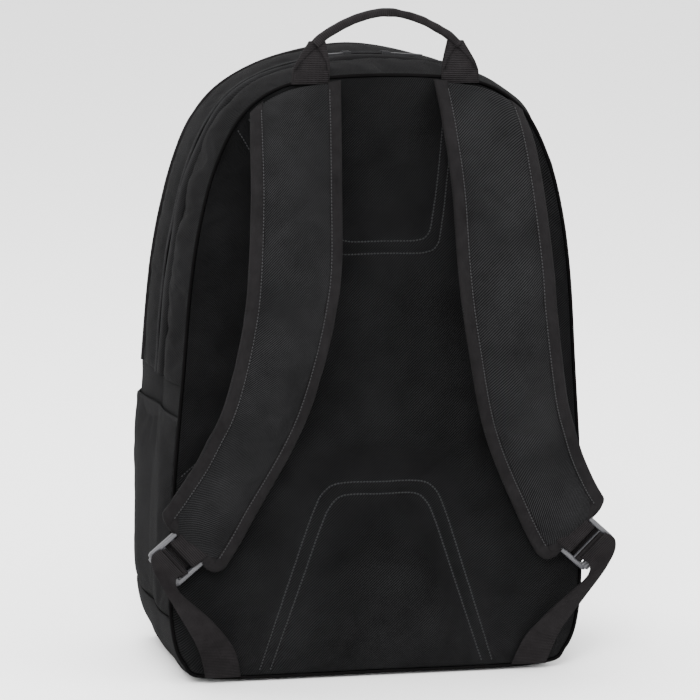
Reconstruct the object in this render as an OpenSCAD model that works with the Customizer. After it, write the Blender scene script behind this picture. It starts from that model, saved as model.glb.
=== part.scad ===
// School backpack: quilted back, two padded shoulder straps, zipped front half, front pocket
// and two side pockets. Millimetres. The back lies towards -Y, the front pocket towards +Y,
// and the base rests on Z = 0.

/* [Body] */
// Width across the lower body
body_w = 306; // [300:1:312]
// Height of the back panel seam above the base
body_h = 440; // [432:1:446]
// Depth from the back panel seam to the front panel seam
body_d = 150; // [146:1:156]
// Thickness of one layer of canvas
canvas_t = 1.2; // [0.8:0.1:1.4]
// Thickness of the foam inside the back panel
back_foam_t = 8; // [5:0.5:9]

/* [Zip] */
// Width of the gusset strip between the back panel and the main zip
rear_strip_w = 58; // [54:1:60]
// Distance from the centre of a zip to the outer edge of its tape
zip_half_w = 8; // [7:0.5:9]
// Gap between the two rows of teeth, which the slider's post runs in
teeth_gap = 1.2; // [1:0.1:1.6]

/* [Pockets] */
// Depth of the front pocket
front_pocket_d = 24; // [18:1:28]
// Width of the front pocket
front_pocket_w = 248; // [220:1:256]
// Room between the side wall and the side pocket
side_pocket_gap = 9; // [8.5:0.5:10]

/* [Straps] */
// Thickness of a padded shoulder strap
strap_t = 12; // [9:0.5:13]
// Width of the webbing
webbing_w = 26; // [20:1:27]
// Thickness of the webbing
webbing_t = 1.6; // [1.2:0.1:2]

/* [Hidden] */
$fn = 48;

// Half outlines of the body from the top centre round to the bottom centre, as [half width, height].
// The first is the back panel's seam, the second the widest line of the front half.
scale_x = body_w / 306;
scale_z = body_h / 440;
BACK_HALF = [
  for (p = [
    [0, 440], [45, 438], [78, 431], [104, 412], [122, 378], [133, 338], [140, 290],
    [145, 225], [150, 160], [153, 95], [152, 45], [143, 16], [120, 5], [0, 4]
  ]) [p.x * scale_x, p.y * scale_z]
];
FRONT_HALF = [
  for (p = [
    [0, 451], [46, 444], [81, 430.5], [106, 411], [124, 380], [136.5, 338], [145, 290],
    [150.5, 225], [154, 160], [154.5, 95], [152, 45], [143, 16], [120, 5], [0, 4]
  ]) [p.x * scale_x, p.y * scale_z]
];
// Places along a half outline, counted in its points
u_crease = 7.1;
u_hem_top = 7.46;
u_hem_low = 7.66;
u_base = 9.9;
u_end = len(BACK_HALF) - 1;

// Depths of the seams
back_y = -body_d / 2;
front_y = body_d / 2;
zip_y = back_y + rear_strip_w;
ridge_y = zip_y + 63;
rear_puff = 3;
middle_puff = 2;
edge_drop = 7;
flap_gap = 0.5;
// Depths at which the side walls and pockets are drawn, between the piping and the front panel
side_reach = body_d / 2 - canvas_t - 0.05;
SIDE_YS = [
  for (s = [-1, -0.91, -0.81, -0.6, -0.4, -0.2, 0, 0.2, 0.4, 0.6, 0.81, 0.91, 1]) s * side_reach
];

// Circle that the main zip follows over the top
arch_r = 226;
arch_z = 219.2 * scale_z;
slider_a = 2.9;
slider_l = 19;

// Front pocket, whose zip lies across its face
pocket_low = 22;
pocket_high = 204;
pocket_r = 28;
pocket_zip_z = 184;
pocket_face_y = front_y + front_pocket_d;
pocket_zip_l = front_pocket_w - 2 * pocket_r;

// Shoulder strap on the right: both edges from the top seam to the end, in the middle of its
// thickness, chosen by hand
STRAP_INNER = [
  [34, -83, 437], [37, -99, 406], [40, -115, 364], [42, -126, 312], [46, -127, 278],
  [53, -124, 242], [61, -117, 209], [70, -109, 182], [82, -101, 155], [95, -95, 129],
  [107, -92, 105], [122, -89, 80]
];
STRAP_OUTER = [
  [100, -83, 414], [104, -104, 392], [107, -122, 357], [111, -135, 308], [114, -136, 276],
  [120, -132, 239], [127, -125, 208], [135, -117, 187], [143, -110, 168], [151, -104, 153],
  [158, -100, 141], [166, -98, 129]
];
strap_stations = len(STRAP_INNER) - 1;
strap_top_t = 6;
binding_w = 10;
binding_t = 2.4;
skin_t = 1.2;
// Room left between the foam and the cloth over it, so that their facets don't cross
skin_gap = 0.15;

// Ladder lock: its bars run along the slanted end of the strap
lock_pos = [144.5, -93.5, 104.5];
lock_bar = [44, -9, 49];
lock_out = [0.742, 0.06, -0.667];
lock_l = 24;
lock_w = 34;
lock_t = 4;
lock_bar_d = 3.4;
lock_lead = 4;

// Lower webbing on the right, from the base seam up to the ladder lock, as centre and width direction
WEBBING_ROUTE = [
  [[115, -81, 9], [1, 0, 0]], [[123, -88, 30], [0.98, 0.1, 0.05]],
  [[139, -97, 54], [0.9, 0.1, 0.2]], [[155, -102, 74], [0.8, -0.05, 0.5]],
  [[160.5, -101.5, 87], [0.7, -0.1, 0.7]], [[154.5, -97.5, 96], [0.667, -0.13, 0.742]]
];
// Loose tail, tucked behind the end of the strap
TAIL_ROUTE = [
  [[155, -88.5, 94.5], [0.667, -0.13, 0.742]], [[146, -85, 103], [0.667, -0.13, 0.742]],
  [[136, -83, 113], [0.667, -0.13, 0.742]]
];

// Handle: centre line in the plane of the back seam
handle_y = back_y - 2.5;
handle_low = 441;
GRIP_ROUTE = [[51.5, 463.5], [47, 467.5], [38, 473.2], [24.5, 479.8], [10, 484], [0, 485]];
grip_w = 12;
grip_t = 6;

// ---- functions ----

function mix(a, b, t) = a + (b - a) * t;
function clamp01(t) = min(max(t, 0), 1);
function smooth(t) = let (s = clamp01(t)) s * s * (3 - 2 * s);
function unit(v) = v / norm(v);

// Point of a smooth curve through four points
function blend4(a, b, c, d, t) =
  0.5 * (2 * b + (c - a) * t + (2 * a - 5 * b + 4 * c - d) * t * t + (3 * b - a - 3 * c + d) * t * t * t);

// Smooth curve through a half outline, whose ends lie on the middle plane
function half_curve(p, u) =
  let (
    i = min(floor(u), len(p) - 2),
    a = i > 0 ? p[i - 1] : [-p[1].x, p[1].y],
    d = i < len(p) - 2 ? p[i + 2] : [-p[i].x, p[i].y]
  ) blend4(a, p[i], p[i + 1], d, u - i);

// Whole outline: u below 0 is the left side, above 0 the right
function outline(p, u) = let (q = half_curve(p, abs(u))) [u < 0 ? -q.x : q.x, q.y];
function outline_normal(p, u) =
  let (d = outline(p, u + 0.05) - outline(p, u - 0.05)) [-d.y, d.x] / norm(d);

// Closed loop of the outline, moved inwards by inset
function outline_loop(p, inset, step = 1 / 3) = [
  for (u = [-u_end : step : u_end - step / 2]) outline(p, u) - inset * outline_normal(p, u)
];

// How far each strip of canvas bulges out or curves in between its seams
function puff(y) =
  y < zip_y ? rear_puff * sin(180 * (y - back_y) / (zip_y - back_y))
  : y < ridge_y ? middle_puff * sin(180 * (y - zip_y) / (ridge_y - zip_y))
  : -edge_drop * pow((y - ridge_y) / (front_y - ridge_y), 2);

// Point of the body's skin, out is positive outwards
function skin(u, y, out = 0) =
  let (
    w = clamp01((y - back_y) / (ridge_y - back_y)),
    p = mix(outline(BACK_HALF, u), outline(FRONT_HALF, u), w),
    n = outline_normal(BACK_HALF, u),
    r = puff(y) + out
  ) [p.x + n.x * r, y, p.y + n.y * r];

// Even steps from a to b
function steps(a, b, n) = [for (i = [0 : n]) mix(a, b, i / n)];

// Smooth curve through a list of 3-D points
function curve(p, u) =
  let (
    last = len(p) - 1,
    i = min(floor(u), last - 1),
    a = i > 0 ? p[i - 1] : 2 * p[0] - p[1],
    d = i < last - 1 ? p[i + 2] : 2 * p[last] - p[last - 1]
  ) blend4(a, p[i], p[i + 1], d, u - i);

// ---- building blocks ----

// Solid through rings of points; the points of a ring pair up across it, first with last
module loft(rings) {
  n = len(rings[0]);
  m = len(rings);
  points = [for (ring = rings, p = ring) p];
  sides = [
    for (i = [0 : m - 2], j = [0 : n - 1])
      let (k = (j + 1) % n, a = i * n, b = a + n)
        each [[a + j, a + k, b + k], [a + j, b + k, b + j]]
  ];
  caps = [
    for (j = [0 : n / 2 - 2])
      let (k = n - 1 - j, e = (m - 1) * n)
        each [[j, k - 1, j + 1], [j, k, k - 1], [e + j, e + j + 1, e + k - 1], [e + j, e + k - 1, e + k]]
  ];
  polyhedron(points, concat(sides, caps), convexity = 8);
}

// Strip of the skin between outline places and depths, from its outer face inwards.
module strip(us, ys, outer, inner) {
  loft([
    for (u = us)
      concat([for (y = ys) skin(u, y, outer)], [for (i = [len(ys) - 1 : -1 : 0]) skin(u, ys[i], inner)])
  ]);
}

// Flat piece of a 2-D shape drawn in X and Z, from depth y0 to y0 + t
module plate(y0, t) {
  translate([0, y0 + t, 0]) rotate([90, 0, 0]) linear_extrude(t) children();
}

module rounded(w, low, high, r) {
  translate([-w / 2 + r, low]) square([w - 2 * r, high - low]);
  translate([-w / 2, low + r]) square([w, high - low - 2 * r]);
  for (x = [-1, 1], z = [low + r, high - r]) translate([x * (w / 2 - r), z]) circle(r);
}

// Places along the outline for a strip that runs over the top, down to u on both sides
function over_top(u, n = 17) = concat(steps(-u, -1, n), steps(-0.667, 0.667, 4), steps(1, u, n));

module on_side(side) {
  if (side > 0) children();
  else mirror([1, 0, 0]) children();
}

// ---- fixed shell ----

module back_panel() {
  color("#26262b") plate(back_y - 3, canvas_t) polygon(outline_loop(BACK_HALF, 0.5));
}

module back_foam() {
  color("#3a3a3e") plate(back_y - 3 + canvas_t, back_foam_t) polygon(outline_loop(BACK_HALF, 8));
}

module back_lining() {
  color("#37373c") plate(back_y - 3 + canvas_t + back_foam_t, canvas_t)
    polygon(outline_loop(BACK_HALF, 5));
}

module rear_piping() {
  color("#17171a") plate(back_y - 3 + canvas_t, 3) difference() {
    polygon(outline_loop(BACK_HALF, -1.5));
    polygon(outline_loop(BACK_HALF, 2));
  }
}

module rear_gusset() {
  color("#242429") strip(over_top(u_crease), steps(back_y + 1.2, zip_y - zip_half_w, 4), 0, -canvas_t);
}

// Wall behind a side pocket: it leaves room for what the pocket holds
function wall_inset(u, y) =
  side_pocket_gap * smooth((u - u_crease) * 5) * smooth((u_base - u) * 3)
  * smooth((front_y - abs(y)) / 14);

module side_wall(side) {
  us = concat(steps(u_crease, u_crease + 0.22, 3), [7.7, 8.4, 9, 9.4, 9.65, u_base]);
  color("#222227") on_side(side) loft([
    for (u = us)
      concat(
        [for (y = SIDE_YS) skin(u, y, -wall_inset(u, y))],
        [for (y = -SIDE_YS) skin(u, y, -canvas_t - wall_inset(u, y))]
      )
  ]);
}

module side_wall_left() { side_wall(-1); }
module side_wall_right() { side_wall(1); }

module bottom_panel() {
  outer = [for (u = concat([u_base], [for (k = [0 : 9]) 10 + 0.24 * k])) outline(FRONT_HALF, u)];
  flat_x = 118 * scale_x;
  right = concat([for (p = outer) if (p.y > 7) p], [[flat_x, 0]]);
  inner = [for (p = right) p.y > 6 ? [p.x - canvas_t, p.y + 0.01] : [p.x - 1, canvas_t]];
  left_outer = [for (i = [len(right) - 1 : -1 : 0]) [-right[i].x, right[i].y]];
  left_inner = [for (p = inner) [-p.x, p.y]];
  right_inner = [for (i = [len(inner) - 1 : -1 : 0]) inner[i]];
  color("#1f1f24") plate(-side_reach, 2 * side_reach) polygon(concat(right, left_outer, left_inner, right_inner));
}

// Side pocket: a curved sheet over the side wall, open at its top
module side_pocket(side) {
  us = [u_hem_low, 7.9, 8.2, 8.6, 9, 9.4, 9.65, u_base];
  color("#212126") on_side(side) strip(us, SIDE_YS, 1.4, 1.4 - canvas_t);
}

module side_pocket_left() { side_pocket(-1); }
module side_pocket_right() { side_pocket(1); }

module pocket_hem(side) {
  color("#18181b") on_side(side) strip(steps(u_hem_top, u_hem_low - 0.002, 2), SIDE_YS, 1.9, 0.3);
}

module pocket_hem_left() { pocket_hem(-1); }
module pocket_hem_right() { pocket_hem(1); }

// Sleeve for a laptop: a padded sheet across the body, its top edge bound
sleeve_y = back_y + 27;
sleeve_t = 2.4;
sleeve_top = 300;
sleeve_half_w = 133 * scale_x;

module laptop_sleeve() {
  color("#3a3a40") plate(sleeve_y, sleeve_t)
    rounded(2 * sleeve_half_w, 8, sleeve_top, 12);
}

module sleeve_binding() {
  color("#18181b") plate(sleeve_y - 0.6, sleeve_t + 1.2)
    translate([-sleeve_half_w + 12, sleeve_top]) square([2 * sleeve_half_w - 24, 8]);
}

// ---- main zip ----

module zip_tape_rear() {
  color("#1b1b1f")
    strip(over_top(u_crease), [zip_y - zip_half_w + 0.02, zip_y - teeth_gap / 2 - 2.6], 0, -0.8);
}

module zip_teeth_rear() {
  color("#101012")
    strip(over_top(u_crease), [zip_y - teeth_gap / 2 - 2.58, zip_y - teeth_gap / 2], 0.8, -1.3);
}

module zip_tape_front() {
  color("#1b1b1f") strip(
    over_top(u_crease - 0.01), [zip_y + teeth_gap / 2 + 2.6, zip_y + zip_half_w - 0.02], 0, -0.8
  );
}

module zip_teeth_front() {
  color("#101012") strip(
    over_top(u_crease - 0.01), [zip_y + teeth_gap / 2, zip_y + teeth_gap / 2 + 2.58], 0.8, -1.3
  );
}

// Folded strip that leans over the zip from one side
module rain_flap(fold_y, free_y, u) {
  color("#1d1d21") loft([
    for (u = over_top(u))
      fold_y < free_y
      ? [skin(u, fold_y, 1), skin(u, free_y, 4.4), skin(u, free_y, 3.2), skin(u, fold_y, 0.05)]
      : [skin(u, free_y, 4.4), skin(u, fold_y, 1), skin(u, fold_y, 0.05), skin(u, free_y, 3.2)]
  ]);
}

module rain_flap_rear() { rain_flap(zip_y - 13, zip_y - 4.6, u_crease); }
module rain_flap_front() { rain_flap(zip_y + 13, zip_y + 4.6, u_crease - 0.01); }

// Part of a ring about the centre of the arch, from angle a0 to a1 clockwise from the top
module arch_piece(r0, r1, y0, y1, a0, a1) {
  translate([0, y0, arch_z]) rotate([-90, 0, 0]) rotate([0, 0, a0 - 90])
    rotate_extrude(angle = a1 - a0, $fn = 360) translate([r0, 0]) square([r1 - r0, y1 - y0]);
}

// Slider of the main zip: two plates, the post between the teeth, and the bridge for the puller
module zip_slider(side) {
  half_a = slider_l / 2 / arch_r * 180 / PI;
  a0 = slider_a - half_a + 0.15;
  a1 = slider_a + half_a;
  color("#3b3b40") on_side(side) {
    difference() {
      union() {
        arch_piece(arch_r + 1.9, arch_r + 3.4, zip_y - 4, zip_y + 4, a0, a1);
        arch_piece(arch_r - 3.2, arch_r - 1.9, zip_y - 4, zip_y + 4, a0, a1);
        arch_piece(arch_r - 2, arch_r + 2, zip_y - 0.3, zip_y + 0.3, a0 + 0.5, a0 + 2);
        for (y = [zip_y - 3.9, zip_y + 2.7])
          arch_piece(arch_r + 3.3, arch_r + 7.4, y, y + 1.2, slider_a, slider_a + 1.5);
      }
      slider_pin_hole();
    }
  }
}

puller_pin_a = slider_a + 0.75;
puller_pin_r = arch_r + 5.6;
puller_pin = [puller_pin_r * sin(puller_pin_a), 0, arch_z + puller_pin_r * cos(puller_pin_a)];

module slider_pin_hole() {
  translate([puller_pin.x, zip_y - 6, puller_pin.z]) rotate([-90, 0, 0]) cylinder(d = 1.9, h = 12);
}

module zip_slider_left() { zip_slider(-1); }
module zip_slider_right() { zip_slider(1); }

// Puller: a flat tab with the pin that turns in the slider's bridge
module zip_puller(side) {
  color("#2d2d31") on_side(side) translate([puller_pin.x, zip_y, puller_pin.z]) {
    rotate([-90, 0, 0]) translate([0, 0, -4]) cylinder(d = 1.8, h = 8);
    rotate([0, puller_pin_a, 0]) {
      translate([-1.4, -2.4, -0.7]) cube([8, 4.8, 1.6]);
      translate([6, -3, -0.7]) cube([19, 6, 1.6]);
      translate([25, 0, -0.7]) cylinder(r = 3, h = 1.6);
    }
  }
}

module zip_puller_left() { zip_puller(-1); }
module zip_puller_right() { zip_puller(1); }

// ---- front half ----

module front_gusset() {
  color("#242429")
    strip(over_top(u_crease - 0.01), steps(zip_y + zip_half_w, ridge_y - 1.5, 4), 0, -canvas_t);
}

module ridge_piping() {
  color("#19191c") strip(over_top(u_crease - 0.01), [ridge_y - 1.48, ridge_y + 1.48], 1, -canvas_t);
}

module edge_gusset() {
  color("#242429")
    strip(over_top(u_crease - 0.01), steps(ridge_y + 1.5, front_y - 1.5, 3), 0, -canvas_t);
}

module front_shape(low, high, inset) {
  intersection() {
    polygon(outline_loop(FRONT_HALF, inset));
    translate([-body_w, low]) square([2 * body_w, high - low]);
  }
}

crease_z = outline(BACK_HALF, u_crease).y;

module front_panel_upper() {
  color("#242429") plate(front_y - canvas_t, canvas_t) front_shape(crease_z + flap_gap, 500, edge_drop + 0.6);
}

module front_panel_lower() {
  color("#232328") plate(front_y - canvas_t, canvas_t) front_shape(canvas_t, crease_z, edge_drop - 5);
}

module front_piping() {
  color("#19191c") plate(front_y - 1.3, 2.6) difference() {
    front_shape(crease_z + flap_gap, 500, edge_drop - 2.6);
    front_shape(0, 500, edge_drop + 0.5);
  }
}

// ---- front pocket ----

module front_pocket_gusset() {
  color("#212126") plate(front_y + 0.02, front_pocket_d - canvas_t - 0.04) difference() {
    rounded(front_pocket_w, pocket_low, pocket_high, pocket_r);
    rounded(
      front_pocket_w - 2 * canvas_t, pocket_low + canvas_t, pocket_high - canvas_t, pocket_r - canvas_t
    );
  }
}

module pocket_face(low, high) {
  plate(pocket_face_y - canvas_t, canvas_t) intersection() {
    rounded(front_pocket_w, pocket_low, pocket_high, pocket_r);
    translate([-front_pocket_w / 2, low]) square([front_pocket_w, high - low]);
  }
}

module front_pocket_panel() {
  color("#242429") difference() {
    pocket_face(pocket_low, pocket_zip_z);
    pocket_zip_slot();
  }
}

module front_pocket_top() {
  color("#242429") difference() {
    pocket_face(pocket_zip_z + 0.02, pocket_high);
    pocket_zip_slot();
  }
}

module pocket_zip_slot() {
  translate([-pocket_zip_l / 2 - 6, pocket_face_y - 3, pocket_zip_z - zip_half_w])
    cube([pocket_zip_l + 12, 6, 2 * zip_half_w]);
}

module pocket_zip_tapes() {
  color("#1b1b1f") for (z = [-zip_half_w + 0.02, teeth_gap / 2 + 2.6])
    translate([-pocket_zip_l / 2 - 5.98, pocket_face_y - 1.1, pocket_zip_z + z])
      cube([pocket_zip_l + 11.96, 0.8, zip_half_w - 2.62 - teeth_gap / 2]);
}

module pocket_zip_teeth() {
  color("#101012") for (z = [-teeth_gap / 2 - 2.58, teeth_gap / 2])
    translate([-pocket_zip_l / 2 - 5.98, pocket_face_y - 1.9, pocket_zip_z + z])
      cube([pocket_zip_l + 11.96, 2.4, 2.58]);
}

pocket_slider_x = pocket_zip_l / 2 - 4;
pocket_pin_y = pocket_face_y + 4.6;

module pocket_slider() {
  color("#3b3b40") translate([pocket_slider_x, pocket_face_y - 0.7, pocket_zip_z]) difference() {
    union() {
      translate([-9, 1.6, -4]) cube([18, 1.5, 8]);
      translate([-9, -3.1, -4]) cube([18, 1.5, 8]);
      translate([6, -2, -0.3]) cube([2, 4, 0.6]);
      for (x = [-4.9, 3.7]) translate([x, 3, -2.4]) cube([1.2, 4.2, 4.8]);
    }
    translate([-6, pocket_pin_y - pocket_face_y + 0.7, 0]) rotate([0, 90, 0]) cylinder(d = 1.9, h = 12);
  }
}

module pocket_puller() {
  color("#2d2d31") translate([pocket_slider_x, pocket_pin_y, pocket_zip_z]) {
    translate([-4.9, 0, 0]) rotate([0, 90, 0]) cylinder(d = 1.8, h = 9.8);
    translate([-3, -0.8, -8]) cube([6, 1.6, 9.2]);
    translate([-3, -0.8, -24]) cube([6, 1.6, 17]);
    translate([0, -0.8, -24]) rotate([-90, 0, 0]) cylinder(r = 3, h = 1.6);
  }
}

// ---- handle ----

module handle_webbing() {
  half_low = webbing_w / 2;
  half_top = grip_w / 2;
  x = GRIP_ROUTE[0].x;
  top = GRIP_ROUTE[0].y - handle_low - grip_t / 2;
  color("#1c1a1d") for (side = [-1, 1]) {
    plate(handle_y - webbing_t / 2, webbing_t) polygon([
      for (p = [[55 - half_low, 0], [55 + half_low, 0], [x + half_top, top], [x - half_top, top]])
        [side * p.x, handle_low + p.y]
    ]);
  }
}

module handle_grip() {
  n = len(GRIP_ROUTE) - 1;
  half = [for (p = GRIP_ROUTE) [p.x, handle_y, p.y]];
  centre = concat([for (i = [0 : n]) [-half[i].x, half[i].y, half[i].z]], [for (i = [n - 1 : -1 : 0]) half[i]]);
  us = steps(0, 2 * n, 6 * n);
  color("#1c1a1d") loft([
    for (u = us)
      let (
        c = curve(centre, u),
        d = unit(curve(centre, min(u + 0.1, 2 * n)) - curve(centre, max(u - 0.1, 0))),
        out = [-d.z, 0, d.x] * grip_t / 2,
        side = [0, grip_w / 2, 0]
      ) [c - side + out, c + side + out, c + side - out, c - side - out]
  ]);
}

// ---- shoulder straps ----

// Point of the right strap: along is the station, across runs from 0 at the inner edge to 1 at the
// outer edge, and through is the distance from the middle of the thickness towards the wearer
function strap_point(along, across, through) =
  let (
    a = curve(STRAP_INNER, along),
    b = curve(STRAP_OUTER, along),
    ahead = mix(curve(STRAP_INNER, min(along + 0.2, strap_stations)),
      curve(STRAP_OUTER, min(along + 0.2, strap_stations)), 0.5),
    behind = mix(curve(STRAP_INNER, max(along - 0.2, 0)), curve(STRAP_OUTER, max(along - 0.2, 0)), 0.5),
    n = unit(cross(b - a, ahead - behind))
  ) mix(a, b, across) + n * through * strap_fill(along);

// Share of the full thickness, thinner where the strap is sewn in
function strap_fill(along) = mix(strap_top_t / strap_t, 1, smooth(along / 1.5));

// Section of the foam from one border to the other: place across, and half thickness
edge_share = binding_w / 70;
PAD = [
  for (p = [[0, 0.26], [0.06, 0.7], [0.16, 0.95], [0.36, 1], [0.56, 0.95], [0.66, 0.7], [0.72, 0.26]])
    [edge_share + p.x * (1 - 2 * edge_share) / 0.72, p.y * (strap_t / 2 - skin_t)]
];

// Layer of the strap between two sheets, each given as places across and heights
module strap_layer(low, high) {
  loft([
    for (s = steps(0, strap_stations, 44))
      concat(
        [for (p = high) strap_point(s, p.x, p.y)],
        [for (i = [len(low) - 1 : -1 : 0]) strap_point(s, low[i].x, low[i].y)]
      )
  ]);
}

// The foam's section moved outwards by d, or turned over to the side of the back
function pad_sheet(d, way) = [for (p = PAD) [p.x, way * (p.y + d)]];

module strap_face(side) {
  color("#25252a") on_side(side) strap_layer(pad_sheet(skin_gap, 1), pad_sheet(skin_t, 1));
}

module strap_foam(side) {
  color("#3a3a3e") on_side(side) strap_layer(pad_sheet(0, -1), pad_sheet(0, 1));
}

module strap_lining(side) {
  color("#2a2a2f") on_side(side) strap_layer(pad_sheet(skin_t, -1), pad_sheet(skin_gap, -1));
}

// Bound borders along both edges
module strap_binding(side) {
  b = binding_t;
  w = edge_share - 0.002;
  color("#1b1a1d") on_side(side) for (a = [0, 1 - w])
    strap_layer([[a, -b], [a + w, -b]], [[a, b], [a + w, b]]);
}

module strap_face_left() { strap_face(-1); }
module strap_foam_left() { strap_foam(-1); }
module strap_lining_left() { strap_lining(-1); }
module strap_binding_left() { strap_binding(-1); }
module strap_face_right() { strap_face(1); }
module strap_foam_right() { strap_foam(1); }
module strap_lining_right() { strap_lining(1); }
module strap_binding_right() { strap_binding(1); }

// ---- ladder locks and webbing ----

// Frame of the ladder lock: X along its bars, Y away from the end of the strap, Z towards the back
lock_x = unit(lock_bar);
lock_z = unit(cross(lock_x, lock_out));
lock_y = cross(lock_z, lock_x);

module at_lock(side) {
  on_side(side) multmatrix([
    [lock_x.x, lock_y.x, lock_z.x, lock_pos.x],
    [lock_x.y, lock_y.y, lock_z.y, lock_pos.y],
    [lock_x.z, lock_y.z, lock_z.z, lock_pos.z],
    [0, 0, 0, 1]
  ]) children();
}

module lock_bar_at(y) {
  translate([-lock_w / 2 + 0.5, y, 0]) rotate([0, 90, 0]) cylinder(d = lock_bar_d, h = lock_w - 1);
}

module ladder_lock(side) {
  color("#2f2f33") at_lock(side) {
    for (x = [-lock_w / 2, lock_w / 2 - 3.5])
      translate([x, lock_lead - 2.5, -lock_t / 2]) cube([3.5, lock_l, lock_t]);
    for (y = [lock_lead, lock_lead + 9, lock_lead + 18]) lock_bar_at(y);
  }
}

module ladder_lock_left() { ladder_lock(-1); }
module ladder_lock_right() { ladder_lock(1); }

// Loop of webbing from the strap's end round the lock's first bar
module strap_tab(side) {
  loop_r = lock_bar_d / 2 + 0.4;
  color("#1c1a1d") at_lock(side) {
    difference() {
      translate([-webbing_w / 2, lock_lead, 0]) rotate([0, 90, 0]) cylinder(r = loop_r + webbing_t, h = webbing_w);
      translate([-webbing_w, lock_lead, 0]) rotate([0, 90, 0]) cylinder(r = loop_r, h = 2 * webbing_w);
      translate([-webbing_w, lock_lead - 10, -10]) cube([2 * webbing_w, 10, 20]);
    }
    for (z = [loop_r, -loop_r - webbing_t])
      translate([-webbing_w / 2, 0.5, z]) cube([webbing_w, lock_lead - 0.5, webbing_t]);
  }
}

module strap_tab_left() { strap_tab(-1); }
module strap_tab_right() { strap_tab(1); }

// Flat webbing along a route of centres and width directions
module flat_webbing(route) {
  centres = [for (r = route) r[0]];
  sides = [for (r = route) r[1]];
  last = len(route) - 1;
  loft([
    for (u = steps(0, last, 4 * last))
      let (
        c = curve(centres, u),
        w = unit(curve(sides, u)),
        d = unit(curve(centres, min(u + 0.1, last)) - curve(centres, max(u - 0.1, 0))),
        n = unit(cross(w, d)) * webbing_t / 2,
        s = w * webbing_w / 2
      ) [c - s - n, c - s + n, c + s + n, c + s - n]
  ]);
}

module strap_webbing(side) {
  color("#1c1a1d") on_side(side) flat_webbing(WEBBING_ROUTE);
}

module webbing_tail(side) {
  color("#1c1a1d") on_side(side) flat_webbing(TAIL_ROUTE);
}

module strap_webbing_left() { strap_webbing(-1); }
module strap_webbing_right() { strap_webbing(1); }
module webbing_tail_left() { webbing_tail(-1); }
module webbing_tail_right() { webbing_tail(1); }

back_panel();
back_foam();
back_lining();
rear_piping();
rear_gusset();
side_wall_left();
side_wall_right();
bottom_panel();
side_pocket_left();
side_pocket_right();
pocket_hem_left();
pocket_hem_right();
zip_tape_rear();
zip_teeth_rear();
rain_flap_rear();
laptop_sleeve();
sleeve_binding();
front_panel_lower();
front_pocket_panel();
front_pocket_top();
front_pocket_gusset();
pocket_zip_tapes();
pocket_zip_teeth();
strap_webbing_left();
strap_webbing_right();
front_panel_upper();
front_gusset();
edge_gusset();
ridge_piping();
front_piping();
zip_tape_front();
zip_teeth_front();
rain_flap_front();
handle_webbing();
handle_grip();
strap_face_left();
strap_foam_left();
strap_lining_left();
strap_binding_left();
strap_tab_left();
ladder_lock_left();
webbing_tail_left();
strap_face_right();
strap_foam_right();
strap_lining_right();
strap_binding_right();
strap_tab_right();
ladder_lock_right();
webbing_tail_right();
zip_slider_left();
zip_puller_left();
zip_slider_right();
zip_puller_right();
pocket_slider();
pocket_puller();
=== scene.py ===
"""School backpack: canvas shell, quilted back, padded straps, webbing, buckles and zips."""

import math

import bpy
import numpy as np
from mathutils import Matrix, Vector
from mathutils.bvhtree import BVHTree


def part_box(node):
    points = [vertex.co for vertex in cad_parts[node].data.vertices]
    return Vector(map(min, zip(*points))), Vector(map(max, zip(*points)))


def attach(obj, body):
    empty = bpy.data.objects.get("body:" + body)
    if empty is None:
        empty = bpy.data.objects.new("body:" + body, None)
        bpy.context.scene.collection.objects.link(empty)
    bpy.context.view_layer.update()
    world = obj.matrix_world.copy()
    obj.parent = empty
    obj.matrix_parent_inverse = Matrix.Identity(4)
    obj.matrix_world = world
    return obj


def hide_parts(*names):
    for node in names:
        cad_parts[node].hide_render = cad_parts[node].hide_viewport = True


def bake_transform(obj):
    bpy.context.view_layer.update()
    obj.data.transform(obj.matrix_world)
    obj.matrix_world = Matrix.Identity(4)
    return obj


bl_info = {
    "name": "School Backpack",
    "version": (1, 0, 0),
    "blender": (4, 5, 0),
    "location": "3D View > Sidebar > Backpack",
    "description": "Builds the cloth, padding, webbing and trim of a school backpack",
    "category": "Add Mesh",
}

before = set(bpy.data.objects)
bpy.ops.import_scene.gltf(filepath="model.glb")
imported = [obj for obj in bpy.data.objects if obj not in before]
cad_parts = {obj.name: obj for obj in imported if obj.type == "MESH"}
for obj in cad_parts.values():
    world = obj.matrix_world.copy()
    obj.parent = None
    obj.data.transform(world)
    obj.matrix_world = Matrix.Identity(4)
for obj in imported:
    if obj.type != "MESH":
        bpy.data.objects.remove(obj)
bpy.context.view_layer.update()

MM = 0.001

# Half outlines of the body from the top centre round to the bottom centre, in millimetres
BACK_HALF = np.array([
    (0, 440), (45, 438), (78, 431), (104, 412), (122, 378), (133, 338), (140, 290),
    (145, 225), (150, 160), (153, 95), (152, 45), (143, 16), (120, 5), (0, 4),
]) * MM
FRONT_HALF = np.array([
    (0, 451), (46, 444), (81, 430.5), (106, 411), (124, 380), (136.5, 338), (145, 290),
    (150.5, 225), (154, 160), (154.5, 95), (152, 45), (143, 16), (120, 5), (0, 4),
]) * MM
U_END = len(BACK_HALF) - 1
U_CREASE = 7.1
U_BASE = 9.9

# Depths of the seams
BACK_Y, ZIP_Y, RIDGE_Y, FRONT_Y = -0.075, -0.017, 0.046, 0.075
CREASE_Z = 0.2185

# Corners of the grids that fill the back and the front, as places round the outline, the
# ends of the crease there, and how far each grid lies inside the outline
U_TOP_CORNER, U_LOW_CORNER = 3.2, 11.4
U_FRONT_TOP, U_FRONT_CREASE = 3.0, 7.1
BACK_INSET, LINING_INSET, FRONT_INSET = 0.0012, 0.004, 0.0068

# Zip coils
COIL_RADIUS, COIL_OFFSET = 0.0008, 0.00175
ZIP_TURNS, POCKET_ZIP_TURNS = 420, 140

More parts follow.
